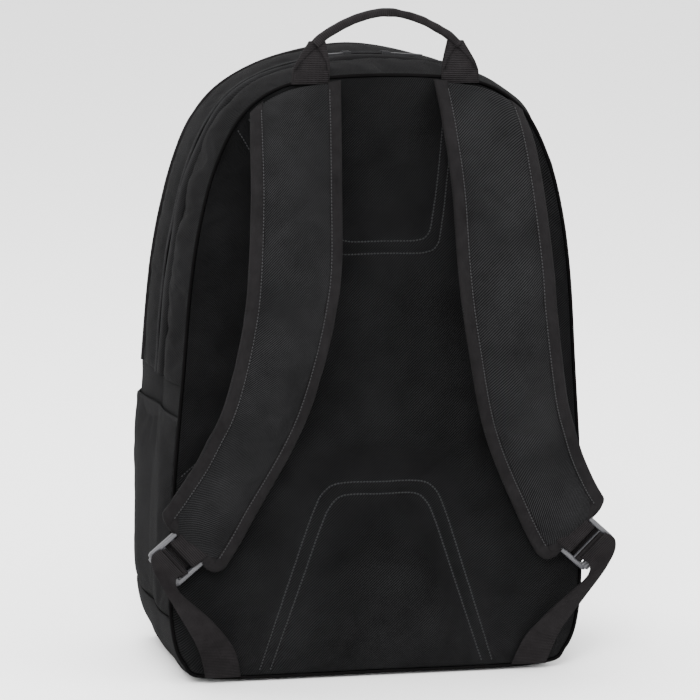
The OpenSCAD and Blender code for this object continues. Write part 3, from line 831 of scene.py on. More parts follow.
def shell_strip(name, y0, y1, along, across, seed, context, full=1.0):
    """A strip of the canvas shell between two seams, settled and with a wall."""
    u = even_places(-U_CREASE, U_CREASE, along)
    y = np.linspace(y0, y1, across)
    points = skin(u, y)
    corner = np.exp(-((np.abs(u) - 3.6) / 1.6) ** 2)[:, None]
    folds = ripple(points * (1, 0.35, 1), 0.045, seed)
    middle = np.sin(np.pi * (y - y0) / (y1 - y0))[None]
    crumple = ripple(points * (1, 0.3, 1), 0.035, seed + 1)
    lift = full * middle * (0.0010 + 0.0008 * folds + 0.0022 * corner * crumple)
    points += (skin(u, y, 0.001) - skin(u, y)) * (lift / 0.001)[..., None]
    piece = grid_piece(name, points, flip=True)
    pinned = np.zeros(points.shape[:2], bool)
    pinned[:, [0, -1]] = True
    pinned[[0, -1]] = True
    settle(
        piece, pinned.ravel(),
        pressure=1.2 + full, slack=0.006 + 0.018 * full, cap=0.0012 + 0.0020 * full,
    )
    edge_gap = np.minimum(y - y0, y1 - y)[None].repeat(along, 0)
    # Paler along both sewn edges: partly abrasion, partly painted highlight beside the seams.
    mark(piece, 0.5 * np.exp(-edge_gap / 0.003))
    # The sewn edges darkened: painted shade along the seams.
    mark(piece, (edge_gap < 0.0001) * 0.9, "seam")
    subdivide(piece)
    give_thickness(piece, context.scene.backpack_sizes.canvas_thickness)
    paint(piece, finish("side_canvas", context))
    return piece


def bend_at_crease(piece):
    """Bakes the piece's placement into its mesh."""
    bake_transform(piece)


class BACKPACK_OT_shell(bpy.types.Operator):
    """Canvas shell: gusset strips, front panel and bottom"""

    bl_idname = "backpack.shell"
    bl_label = "Canvas Shell"

    def execute(self, context):
        rear = shell_strip("rear_strip", BACK_Y + 0.0002, ZIP_Y - 0.0075, 300, 18, 11, context)
        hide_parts("rear_gusset")
        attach(rear, "pack")
        middle = shell_strip("front_strip", ZIP_Y + 0.0075, RIDGE_Y, 300, 20, 23, context, 0.35)
        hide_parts("front_gusset")
        bend_at_crease(middle)
        edge = shell_strip("edge_strip", RIDGE_Y, FRONT_Y - 0.0005, 300, 12, 37, context, 0.2)
        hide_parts("edge_gusset")
        bend_at_crease(edge)
        self.front_panel(context)
        self.bottom(context)
        return {"FINISHED"}

    def front_panel(self, context):
        """Both parts of the front panel, above and below the crease."""
        def inner(start, end, n=300):
            return inset(FRONT_HALF, np.linspace(start, end, n), FRONT_INSET)

        ends = inner(-U_FRONT_CREASE, U_FRONT_CREASE, 2)[:, 0]
        crease = np.stack([np.linspace(*ends, 300), np.full(300, CREASE_Z)], 1)
        for name, node, upper in (
            ("front_panel_top", "front_panel_upper", True),
            ("front_panel_base", "front_panel_lower", False),
        ):
            if upper:
                low, top = crease, inner(-U_FRONT_TOP, U_FRONT_TOP)
                left = inner(-U_FRONT_CREASE, -U_FRONT_TOP)
                right = inner(U_FRONT_CREASE, U_FRONT_TOP)
            else:
                low, top = inner(-U_LOW_CORNER, -U_LOW_CORNER - U_TOP_CORNER), crease
                left = inner(-U_LOW_CORNER, -U_FRONT_CREASE)
                right = inner(U_LOW_CORNER, U_FRONT_CREASE)
            flat = coons(even(low, 70), even(top, 70), even(left, 56), even(right, 56))
            points = np.stack([flat[..., 0], np.full(flat.shape[:2], FRONT_Y), flat[..., 1]], -1)
            rim = distance_to(flat, [inner(-U_END, U_END, 900)])
            swell = 0.0045 if upper else 0.001
            uneven = 0.0008 * ripple(points, 0.08, 41) * smooth(rim / 0.02)
            points[..., 1] += swell * (1 - np.exp(-rim / 0.03)) + uneven
            panel = grid_piece(name, points, flip=True)
            pinned = (rim < 0.002) | (np.abs(flat[..., 1] - CREASE_Z) < 0.001)
            settle(panel, pinned.ravel(), pressure=0.8, slack=0.012, cap=0.003)
            mark(panel, 0.4 * np.exp(-rim / 0.004))
            subdivide(panel)
            give_thickness(panel, context.scene.backpack_sizes.canvas_thickness)
            paint(panel, finish("canvas", context))
            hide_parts(node)
            if upper:
                bend_at_crease(panel)
            else:
                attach(panel, "pack")

    def bottom(self, context):
        """Bottom panel, which wraps the lower corners."""
        u = np.concatenate([even_places(U_BASE, U_END, 90), even_places(-U_END, -U_BASE, 90)[1:]])
        y = np.linspace(BACK_Y, FRONT_Y, 54)
        points = skin(u, y)
        points -= (skin(u, y, 0.001) - skin(u, y)) * ((puff(y) * 0.75) / 0.001)[None, :, None]
        lower = smooth((0.02 - points[..., 2]) / 0.014)
        corner = (np.abs(y) / 0.075) ** 6
        points[..., 2] -= 0.0042 * lower * (1 - 0.8 * corner[None])
        points[..., 2] = np.maximum(points[..., 2], 0.0)
        across = np.sin(np.pi * np.linspace(0, 1, 54))[None]
        lift = ripple(points, 0.05, 51) * 0.0007 * (1 - lower) * across
        lift = lift - 0.0016 * np.exp(-(np.abs(u) - U_BASE) / 0.05)[:, None]
        points += (skin(u, y, 0.001) - skin(u, y)) * (lift / 0.001)[..., None]
        base = grid_piece("bottom_panel_cloth", points, flip=True)
        mark(base, (0.7 * lower + 0.2 * corner[None]))
        # The seam rows and ends darkened: painted shade along the seams.
        seam = np.zeros(points.shape[:2])
        seam[:, [0, -1]] = 0.8
        seam[[0, -1]] = 1
        mark(base, seam, "seam")
        give_thickness(base, context.scene.backpack_sizes.canvas_thickness)
        paint(base, finish("side_canvas", context))
        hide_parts("bottom_panel")
        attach(base, "pack")


class BACKPACK_OT_seams_and_flaps(bpy.types.Operator):
    """Piping along the front seams and the rain flaps on both sides of the main zip"""

    bl_idname = "backpack.seams_and_flaps"
    bl_label = "Seams and Rain Flaps"

    def execute(self, context):
        u = even_places(-U_CREASE, U_CREASE, 420)
        for name, node, y, out, radius in (
            ("ridge_cord", "ridge_piping", RIDGE_Y, 0.0006, 0.0017),
            ("front_cord", "front_piping", FRONT_Y - 0.0002, 0.0010, 0.0017),
        ):
            cord = tube(name, skin(u, np.array([y]), out)[:, 0], radius, closed=False)
            mark(cord, 0.5)
            paint(cord, finish("binding", context))
            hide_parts(node)
            bend_at_crease(cord)
        self.rain_flap("rear_rain_flap", "rain_flap_rear", -1, context)
        self.rain_flap("front_rain_flap", "rain_flap_front", 1, context)
        return {"FINISHED"}

    def rain_flap(self, name, node, way, context):
        """Folded strip that leans over the zip from one side."""
        u = even_places(-U_CREASE, U_CREASE, 420)
        # Distance from the zip's centre and height above the skin, round the strip's section
        profile = [
            (13.5, 0.2), (12, 1.6), (9.5, 3.4), (7, 4.5), (4.6, 5.1), (2.9, 5.1), (2.2, 4.5),
            (2.5, 3.9), (4.6, 3.9), (7, 3.4), (9.5, 2.2), (12, 0.5), (13, -0.3),
        ]
        across = np.array([p[0] for p in profile]) * MM * way + ZIP_Y
        height = np.array([p[1] for p in profile]) * MM
        base = skin(u, across)
        out = (skin(u, across, 0.001) - base) / 0.001
        flutter = ripple(base * (1, 0, 1), 0.05, 61 if way > 0 else 67)
        free = smooth((12 * MM - np.abs(across - ZIP_Y)) / 0.009)
        points = base + out * (height[None] + 0.0006 * flutter * free[None])[..., None]
        points[..., 1] += 0.0008 * ripple(base * (1, 0, 1), 0.06, 71) * free[None]
        flap = grid_piece(name, points, closed_across=True, capped=True, flip=way < 0)
        # The flap's free folded edge made paler: painted highlight along its rim.
        mark(flap, np.broadcast_to(free, points.shape[:2]))
        paint(flap, finish("side_canvas", context))
        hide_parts(node)
        if way > 0:
            bend_at_crease(flap)
        else:
            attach(flap, "pack")


def coil_along(name, centre, first, second):
    """One half of a coil zip: a bead that swells at each turn, first and second across it."""
    swell = 1 + 0.28 * np.cos(np.arange(len(centre)) * np.pi / 2)
    angle = np.linspace(0, 2 * np.pi, 6, endpoint=False)[None, :, None]
    turned = np.cos(angle) * first + np.sin(angle) * second
    ring = centre[:, None] + COIL_RADIUS * swell[:, None, None] * turned
    return grid_piece(name, ring, closed_across=True, capped=True)


def dress(node, context):
    """Gives a shown CAD node of a zip its finish."""
    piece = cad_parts[node]
    piece.data.materials.clear()
    piece.data.materials.append(finish("slider", context))


class BACKPACK_OT_main_zip(bpy.types.Operator):
    """Tapes and coils of the main zip, and the finish of the sliders and pullers"""

    bl_idname = "backpack.main_zip"
    bl_label = "Main Zip"

    def execute(self, context):
        for half, way in (("rear", -1), ("front", 1)):
            u = even_places(-U_CREASE, U_CREASE, 300)
            y = ZIP_Y + way * np.array([0.9, 2.2, 3.5, 5, 6.5, 8]) * MM
            tape = grid_piece(f"{half}_tape", skin(u, y, -0.0004), flip=way > 0)
            give_thickness(tape, 0.0005)
            paint(tape, finish("zip_tape", context))
            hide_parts(f"zip_tape_{half}")
            u = even_places(-U_CREASE, U_CREASE, 4 * ZIP_TURNS + 1)
            y = np.array([ZIP_Y + way * COIL_OFFSET])
            centre = skin(u, y)[:, 0]
            out = unit(skin(u, y, 0.001)[:, 0] - centre)
            coil = coil_along(f"{half}_coil", centre, np.array([0, 1.15, 0]), out[:, None])
            paint(coil, finish("coil", context))
            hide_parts(f"zip_teeth_{half}")
            for piece in (tape, coil):
                if way > 0:
                    bend_at_crease(piece)
                else:
                    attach(piece, "pack")
        for side in ("left", "right"):
            for node in (f"zip_slider_{side}", f"zip_puller_{side}"):
                dress(node, context)
        return {"FINISHED"}


def pocket_wall_inset(u, y):
    """How far the wall behind a side pocket lies inside the body's skin."""
    mouth_part = 0.1 + 0.9 * smooth((u - 7.6) * 3.5)
    down = smooth((u - U_CREASE) * 5) * mouth_part * smooth((U_BASE - u) * 3)
    return 0.009 * down[:, None] * smooth((FRONT_Y - np.abs(y)) / 0.014)[None]


class BACKPACK_OT_side_pockets(bpy.types.Operator):
    """Side pockets with their hems, and the walls behind them"""

    bl_idname = "backpack.side_pockets"
    bl_label = "Side Pockets"

    def execute(self, context):
        sizes = context.scene.backpack_sizes
        for side in (-1, 1):
            name = side_name(side)
            u = np.concatenate([np.linspace(U_CREASE - 0.01, 7.5, 24), np.linspace(7.55, U_BASE, 40)])
            y = np.linspace(BACK_Y + 0.0002, FRONT_Y - 0.0002, 60)
            points = mirror_points(skin(u, y, -pocket_wall_inset(u, y)), side)
            wall = grid_piece(f"side_cloth_{name}", points, flip=side > 0)
            give_thickness(wall, sizes.canvas_thickness)
            mark(wall, 0)
            paint(wall, finish("side_canvas", context))
            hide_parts(f"side_wall_{name}")
            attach(wall, "pack")
            pocket = self.pocket(side, context)
            hem = self.hem(side, context)
            for piece, node in ((pocket, f"side_pocket_{name}"), (hem, f"pocket_hem_{name}")):
                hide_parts(node)
                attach(piece, "pack")
            self.seam(side, context)
        return {"FINISHED"}

    def seam(self, side, context):
        """Cord of the seam between a side pocket and the bottom panel, painted near black as the shade
        along that seam.
        """
        y = np.linspace(BACK_Y + 0.0005, FRONT_Y - 0.0005, 90)
        line = mirror_points(skin(np.array([U_BASE]), y, 0.0003)[0], side)
        cord = tube(f"side_seam_{side_name(side)}", line, 0.0009, closed=False, up=(0, 0, 1))
        # Darkened almost to black: a painted shade line along the seam.
        mark(cord, 0.9, "seam")
        paint(cord, finish("binding", context))
        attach(cord, "pack")

    def mouth(self, y):
        """Place of the pocket's top edge at each depth: a little lower towards the front."""
        return 7.475 + 0.025 * y / FRONT_Y - 0.012 * np.cos(np.pi * y / 0.075)

    def pocket_points(self, share, y, out):
        """Points of the pocket from its mouth, share 0, to its lower seam, share 1."""
        top = self.mouth(y)
        u = top[None] * (1 - share[:, None]) + U_BASE * share[:, None]
        rows = [skin(u[:, k], y[k : k + 1], out[:, k : k + 1])[:, 0] for k in range(len(y))]
        return np.stack(rows, 1)

    def pocket(self, side, context):
        """Cloth of a side pocket, settled, with a hem at its mouth."""
        share = np.linspace(0, 1, 56)
        y = np.linspace(BACK_Y + 0.0003, FRONT_Y - 0.0003, 60)
        middle = smooth((0.075 - np.abs(y)) / 0.02)[None]
        out = 0.0013 + 0.0009 * middle * np.sin(np.pi * share)[:, None]
        out = out - 0.0022 * np.exp(-(1 - share) / 0.014)[:, None]
        points = self.pocket_points(share, y, out)
        wave = np.sin(y / 0.0105 * 2 * np.pi + 2 * np.sin(y * 60))[None]
        gathers = np.exp(-share / 0.25)[:, None] * wave
        uneven = 0.0010 * ripple(points * (1, 1, 0.4), 0.04, 83)
        points[..., 0] += (0.00005 * gathers + uneven) * middle
        points = mirror_points(points, side)
        pocket = grid_piece(f"side_pocket_cloth_{side_name(side)}", points, flip=side > 0)
        pinned = np.zeros(points.shape[:2], bool)
        pinned[-1] = True
        pinned[:, [0, -1]] = True
        pinned[0] = True
        settle(pocket, pinned.ravel(), pressure=0.6, slack=0.006, cap=0.0018)
        # Its lower seam and sides darkened: painted shade along the seams.
        seam = np.zeros(points.shape[:2])
        seam[:, [0, -1]] = 0.8
        seam[-1] = 1
        mark(pocket, seam, "seam")
        subdivide(pocket)
        give_thickness(pocket, context.scene.backpack_sizes.canvas_thickness)
        mark(pocket, 0.05)
        paint(pocket, finish("side_canvas", context))
        return pocket

    def hem(self, side, context):
        """Folded elastic hem along the pocket's mouth."""
        y = np.linspace(BACK_Y + 0.0003, FRONT_Y - 0.0003, 90)
        share = np.array([0.0, 0.03, 0.06, 0.085])
        height = np.array([0.0016, 0.0016, 0.0009, 0.0004])[:, None].repeat(len(y), 1)
        outer = self.pocket_points(share, y, height)
        inner = self.pocket_points(share[::-1], y, np.full((4, len(y)), -0.0001))
        lip = self.pocket_points(np.array([-0.006]), y, np.full((1, len(y)), 0.0008))
        ring = np.concatenate([outer, inner, lip]).swapaxes(0, 1)
        ring[..., 0] += 0.00015 * ripple(ring, 0.014, 91)
        hem = grid_piece(
            f"pocket_hem_band_{side_name(side)}", mirror_points(ring, side),
            closed_across=True, capped=True, flip=side < 0,
        )
        mark(hem, 0.4)
        paint(hem, finish("side_canvas", context))
        return hem


class BACKPACK_OT_front_pocket(bpy.types.Operator):
    """Front pocket with its zip, slider and puller"""

    bl_idname = "backpack.front_pocket"
    bl_label = "Front Pocket"

    def execute(self, context):
        low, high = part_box("front_pocket_gusset")
        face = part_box("front_pocket_panel")[1].y
        slot_low, slot_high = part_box("pocket_zip_tapes")
        pocket = self.shell(low, high, face, slot_low, slot_high)
        give_thickness(pocket, context.scene.backpack_sizes.canvas_thickness)
        mark(pocket, 0.05)
        paint(pocket, finish("canvas", context))
        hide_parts("front_pocket_panel", "front_pocket_top", "front_pocket_gusset")
        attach(pocket, "pack")
        middle = (slot_low.z + slot_high.z) / 2
        for way, name in ((-1, "lower"), (1, "upper")):
            x = np.linspace(slot_low.x - 0.002, slot_high.x + 0.002, 60)
            z = middle + way * np.array([0.9, 2.5, 4.5, 6.5, 9.0]) * MM
            grid = np.stack(np.broadcast_arrays(x[:, None], slot_high.y - 0.0004, z[None]), -1)
            tape = grid_piece(f"pocket_tape_{name}", grid, flip=way < 0)
            give_thickness(tape, 0.0005)
            paint(tape, finish("zip_tape", context))
            x = np.linspace(slot_low.x, slot_high.x, 4 * POCKET_ZIP_TURNS)
            row = (slot_high.y - 0.0003, middle + way * COIL_OFFSET)
            centre = np.stack([x, np.full(len(x), row[0]), np.full(len(x), row[1])], 1)
            coil = coil_along(
                f"pocket_coil_{name}", centre, np.array([0, 1, 0]), np.array([0, 0, 1.15])
            )
            paint(coil, finish("coil", context))
            if way < 0:
                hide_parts("pocket_zip_tapes")
                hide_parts("pocket_zip_teeth")
            for piece in (tape, coil):
                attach(piece, "pack")
        for node in ("pocket_slider", "pocket_puller"):
            dress(node, context)
        return {"FINISHED"}

    def shell(self, low, high, face, slot_low, slot_high):
        """Open-backed box of canvas with round corners and a slot for the zip."""
        deselect_all()
        size = Vector((high.x - low.x, face - low.y, high.z - low.z))
        centre = Vector((0, (face + low.y) / 2, (high.z + low.z) / 2))
        bpy.ops.mesh.primitive_cube_add(size=1, location=centre, scale=size)
        bpy.ops.object.transform_apply(location=True, rotation=True, scale=True)
        pocket = bpy.context.object
        pocket.name = pocket.data.name = "front_pocket_cloth"
        at = pocket.data.vertices
        corners = [
            e.index for e in pocket.data.edges
            if abs(at[e.vertices[0]].co.y - at[e.vertices[1]].co.y) > size.y / 2
        ]
        self.bevel(pocket, corners, 0.028, 8)
        rim = [
            e.index for e in pocket.data.edges
            if min(pocket.data.vertices[v].co.y for v in e.vertices) > face - 1e-5
        ]
        self.bevel(pocket, rim, 0.006, 4)
        bpy.ops.object.mode_set(mode="EDIT")
        for point, normal in (
            ((0, 0, slot_low.z), (0, 0, 1)), ((0, 0, slot_high.z), (0, 0, 1)),
            ((slot_low.x, 0, 0), (1, 0, 0)), ((slot_high.x, 0, 0), (1, 0, 0)),
        ):
            bpy.ops.mesh.select_all(action="SELECT")
            bpy.ops.mesh.bisect(plane_co=point, plane_no=normal)
        bpy.ops.object.mode_set(mode="OBJECT")
        for polygon in pocket.data.polygons:
            c = polygon.center
            in_slot = slot_low.z < c.z < slot_high.z and slot_low.x < c.x < slot_high.x
            polygon.select = (in_slot and c.y > face - 1e-4) or c.y < low.y + 1e-4
        bpy.ops.object.mode_set(mode="EDIT")
        bpy.ops.mesh.select_mode(type="FACE")
        bpy.ops.mesh.delete(type="FACE")
        bpy.ops.mesh.select_all(action="SELECT")
        for z in np.arange(low.z + 0.014, high.z - 0.005, 0.008):
            bpy.ops.mesh.select_all(action="SELECT")
            bpy.ops.mesh.bisect(plane_co=(0, 0, z), plane_no=(0, 0, 1))
        for x in np.arange(low.x + 0.012, high.x - 0.005, 0.008):
            bpy.ops.mesh.select_all(action="SELECT")
            bpy.ops.mesh.bisect(plane_co=(x, 0, 0), plane_no=(1, 0, 0))
        bpy.ops.mesh.select_all(action="SELECT")
        if not pocket.data.uv_layers:
            bpy.ops.mesh.uv_texture_add()
        bpy.ops.object.mode_set(mode="OBJECT")
        co = coordinates(pocket)
        slot = distance_to(co[:, [0, 2]], [self.slot_line(slot_low, slot_high)])
        inside = smooth((face - 0.002 - co[:, 1]) / -0.003) * smooth(slot / 0.012)
        rim_gap = np.minimum.reduce([
            co[:, 0] - low.x, high.x - co[:, 0], co[:, 2] - low.z, high.z - co[:, 2]
        ])
        co[:, 1] += inside * (0.005 * smooth(rim_gap / 0.06) + 0.0012 * ripple(co, 0.07, 97))
        set_coordinates(pocket, co)
        self.lay_uv(pocket)
        pocket.data.polygons.foreach_set("use_smooth", np.ones(len(pocket.data.polygons), bool))
        return pocket

    def slot_line(self, low, high):
        """Points round the slot that the zip closes."""
        corners = np.array([
            (low.x, low.z), (high.x, low.z), (high.x, high.z), (low.x, high.z), (low.x, low.z),
        ])
        return even(corners, 500)

    def lay_uv(self, piece):
        """UV map in metres from the face each polygon looks towards."""
        layer = piece.data.uv_layers[0]
        layer.name = "cloth"
        values = np.zeros((len(piece.data.loops), 2))
        for polygon in piece.data.polygons:
            n = polygon.normal
            for loop in polygon.loop_indices:
                co = piece.data.vertices[piece.data.loops[loop].vertex_index].co
                if abs(n.y) > 0.7:
                    values[loop] = (co.x, co.z)
                elif abs(n.z) > abs(n.x):
                    values[loop] = (co.x, co.y)
                else:
                    values[loop] = (co.y, co.z)
        layer.data.foreach_set("uv", values.ravel())

    def bevel(self, piece, edges, offset, segments):
        """Rounds the edges of those numbers."""
        bpy.ops.object.mode_set(mode="EDIT")
        bpy.ops.mesh.select_mode(type="EDGE")
        bpy.ops.mesh.select_all(action="DESELECT")
        bpy.ops.object.mode_set(mode="OBJECT")
        for number in edges:
            piece.data.edges[number].select = True
        bpy.ops.object.mode_set(mode="EDIT")
        bpy.ops.mesh.bevel(offset=offset, segments=segments, affect="EDGES")
        bpy.ops.object.mode_set(mode="OBJECT")


# ---- shoulder straps ----


def corner_cut(left, radius):
    """How far a rounded corner pulls an edge in, at a distance from the corner."""
    short = np.clip(radius - left, 0, radius)
    return radius - np.sqrt(radius**2 - (0.97 * short) ** 2)


def strap_frame(along):
    """Inner edge, outer edge and outward normal of the right strap at stations along it."""
    a, b = catmull(STRAP_INNER, along), catmull(STRAP_OUTER, along)
    inward = unit(b - a)
    left = np.maximum(STRAP_END - along, 0)[:, None] * 0.028
    a = a + inward * corner_cut(left, 0.013)
    b = b - inward * corner_cut(left, 0.009)
    near, far = np.maximum(along - 0.2, 0), np.minimum(along + 0.2, STRAP_END)
    way = (catmull(STRAP_INNER, far) + catmull(STRAP_OUTER, far)) / 2
    way = way - (catmull(STRAP_INNER, near) + catmull(STRAP_OUTER, near)) / 2
    return a, b, unit(np.cross(b - a, -way))


def lift_to_seam(points, run):
    """Raises the top of a strap so that its end follows the curve of the back seam."""
    seam = outline(BACK_HALF, np.linspace(0, 5, 400))
    order = np.argsort(seam[:, 0])
    target = np.interp(points[0, :, 0], seam[order, 0], seam[order, 1]) - 0.0015
    rise = np.maximum(target - points[0, :, 2], 0)
    lifted = points.copy()
    lifted[..., 2] += rise[None] * (1 - smooth(run / 0.06))[:, None]
    return lifted


def strap_places(n):
    """Stations along the strap, evenly spaced by length."""
    u = np.linspace(0, STRAP_END, 500)
    middle = (catmull(STRAP_INNER, u) + catmull(STRAP_OUTER, u)) / 2
    length = np.concatenate([[0], np.cumsum(np.linalg.norm(np.diff(middle, axis=0), axis=1))])
    last = length[-1]
    even_run = np.linspace(0, last - 0.016, n - 14)
    at = np.concatenate([even_run, last - 0.016 * np.linspace(0.93, 0, 14) ** 1.6])
    return np.interp(at, length, u), at


def strap_depth(across, from_ends, border, face):
    """Half thickness of the pad at a distance across it: thin at its border, full in its middle."""
    inside = np.maximum(across - border, 0)
    full = 0.0046 if face else 0.0034
    crown = 0.0009 * smooth(inside / 0.024) if face else 0.0
    pad = full * (1 - np.exp(-((inside / 0.006) ** 1.2))) + crown
    return 0.0018 + pad * smooth(from_ends / 0.03)


class BACKPACK_OT_shoulder_straps(bpy.types.Operator):
    """Padded shoulder straps with their bound borders and stitching"""

    bl_idname = "backpack.shoulder_straps"
    bl_label = "Shoulder Straps"

    def execute(self, context):
        for side in (-1, 1):
            pad = self.pad(side, context)
            border = self.border(side, context)
            thread = self.stitching(side, context)
            name = side_name(side)
            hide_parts(f"strap_face_{name}", f"strap_foam_{name}", f"strap_lining_{name}")
            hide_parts(f"strap_binding_{name}")
            for piece in (pad, border, thread):
                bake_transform(piece)
        return {"FINISHED"}

    def section(self, n):
        """Distances across the strap, as a share of its width, denser at the borders."""
        t = np.linspace(0, 1, n)
        return t - 0.09 * np.sin(4 * np.pi * t) / np.pi

    def pad(self, side, context):
        """Padded body of a strap, settled between its borders."""
        border = context.scene.backpack_sizes.strap_border
        rings, half = 150, 34
        along, run = strap_places(rings)
        a, b, n = strap_frame(along)
        width = np.linalg.norm(b - a, axis=1)[:, None]
        t = self.section(half)[None]
        from_edge = np.minimum(t, 1 - t) * width
        run = run[:, None]
        from_ends = np.minimum(run + 0.004, (run[-1] - run) * 1.6)
        face = strap_depth(from_edge, from_ends, border, True)
        back = strap_depth(from_edge, from_ends, border, False)
        middle = a[:, None] * (1 - t[..., None]) + b[:, None] * t[..., None]
        dents = 0.0009 * np.exp(-(((run - 0.085 - 0.05 * (t - 0.5)) / 0.006) ** 2))
        dents = dents + 0.0006 * np.exp(-(((run - 0.165 + 0.04 * (t - 0.5)) / 0.008) ** 2))
        soft = smooth((from_edge - border) / 0.012)
        lumps = 0.0005 * ripple(middle, 0.05, 101 + side) * soft
        face_points = middle + n[:, None] * (face - dents * soft + lumps)[..., None]
        back_points = (middle - n[:, None] * back[..., None])[:, ::-1]
        ring = lift_to_seam(np.concatenate([face_points, back_points], 1), run[:, 0])
        pinned = np.concatenate([from_edge < border + 0.0008, from_edge[:, ::-1] < border + 0.0008], 1)
        pinned[[0, 1, -2, -1]] = True
        pad = grid_piece(
            f"strap_{side_name(side)}_pad", mirror_points(ring, side),
            closed_across=True, capped=True, flip=side > 0,
        )
        settle(pad, pinned.ravel(), pressure=2.0, slack=0.012, cap=0.0018)
        subdivide(pad)
        if side < 0:
            turn_weave(pad)
        mark(pad, 0.12)
        # The pads take the lighter copy of the canvas: painted light.
        paint(pad, finish("strap_canvas", context))
        return pad

    def border(self, side, context):
        """Folded cloth round both edges and the lower end of the strap."""
        width = context.scene.backpack_sizes.strap_border
        along, run = strap_places(220)
        a, b, n = strap_frame(along)
        pieces = []
        for inner, other in ((a, b), (b, a)):
            inward = unit(other - inner)
            # Distance in from the edge and half thickness, from the face round to the back
            profile = [
                (1.02, 1.9), (0.93, 2.45), (0.78, 2.85), (0.55, 3.05), (0.33, 2.95), (0.15, 2.5),
                (0.03, 1.6), (0.0, 0.0), (0.03, -1.6), (0.15, -2.5), (0.33, -2.95),
                (0.55, -3.05), (0.78, -2.85), (0.93, -2.45), (1.02, -1.9), (0.9, -1.4), (0.9, 1.4),
            ]
            ring = np.stack([
                inner + inward * width * share + n * thickness * MM for share, thickness in profile
            ], 1)
            ring += n[:, None] * (0.00035 * ripple(ring, 0.022, 111))[..., None]
            ring = lift_to_seam(ring, run)
            if other is a:
                ring = ring[:, ::-1]
            pieces.append(mirror_points(ring, side))
        made = [
            grid_piece(f"border_{k}", ring, closed_across=True, capped=True, flip=side > 0)
            for k, ring in enumerate([*pieces, self.end_border(side, a, b, n, width)])
        ]
        for piece in made:
            mark(piece, 0.35)
        border = join_pieces(made, f"strap_{side_name(side)}_border")
        paint(border, finish("binding", context))
        return border

    def end_border(self, side, a, b, n, width):
        """The fold that closes the slanted lower end."""
        t = np.linspace(0.03, 0.97, 40)[:, None]
        edge = a[-1] * (1 - t) + b[-1] * t
        back_in = unit((a[-6] + b[-6]) / 2 - (a[-1] + b[-1]) / 2)
        profile = [
            (1.0, 2.3), (0.6, 2.8), (0.2, 2.8), (0.0, 1.9), (-0.1, 0.0), (0.0, -1.9),
            (0.2, -2.8), (0.6, -2.8), (1.0, -2.3), (0.9, -1.4), (0.9, 1.4),
        ]
        ring = np.stack([edge + back_in * width * s + n[-1] * h * MM for s, h in profile], 1)
        return mirror_points(ring, side)[:, ::-1]

    def stitching(self, side, context):
        """A row of stitches inside each border."""
        sizes = context.scene.backpack_sizes
        along, run = strap_places(260)
        a, b, n = strap_frame(along)
        runs = []
        for inner, other in ((a, b), (b, a)):
            line = inner + unit(other - inner) * (sizes.strap_border - 0.0012)
            line = lift_to_seam((line + n * 0.0026)[:, None], run)[:, 0]
            runs.append((mirror_points(line[4:-10], side), mirror_points(n[4:-10], side)))
        thread = stitches(f"strap_{side_name(side)}_stitching", runs, sizes)
        paint(thread, finish("thread", context))
        return thread


def flat_webbing(name, centres, sides, sizes, steps=12):
    """Woven webbing along a route: rounded edges and a slight crown."""
    last = len(centres) - 1
    u = np.linspace(0, last, steps * last + 1)
    c = catmull(centres, u)
    w = unit(catmull(sides, u))
    ahead = catmull(centres, np.minimum(u + 0.1, last)) - catmull(centres, np.maximum(u - 0.1, 0))
    n = unit(np.cross(w, ahead))
    half_t = sizes.webbing_thickness / 2
    half_w = sizes.webbing_width / 2
    t = np.linspace(-1, 1, 15)
    top = np.stack([t, 1 - 0.25 * t**6], 1)
    section = np.vstack([top, (1.02, 0.0), top[::-1] * (1, -1), (-1.02, 0.0)])
    ring = c[:, None] + w[:, None] * section[None, :, :1] * half_w
    ring = ring + n[:, None] * section[None, :, 1:] * half_t
    return grid_piece(name, ring, closed_across=True, capped=True)


def lock_frame():
    """Axes of the right ladder lock: along its bars, outwards, and towards the back."""
    x = LOCK_BAR
    z = x.cross(LOCK_OUT).normalized()
    return x, z.cross(x), z


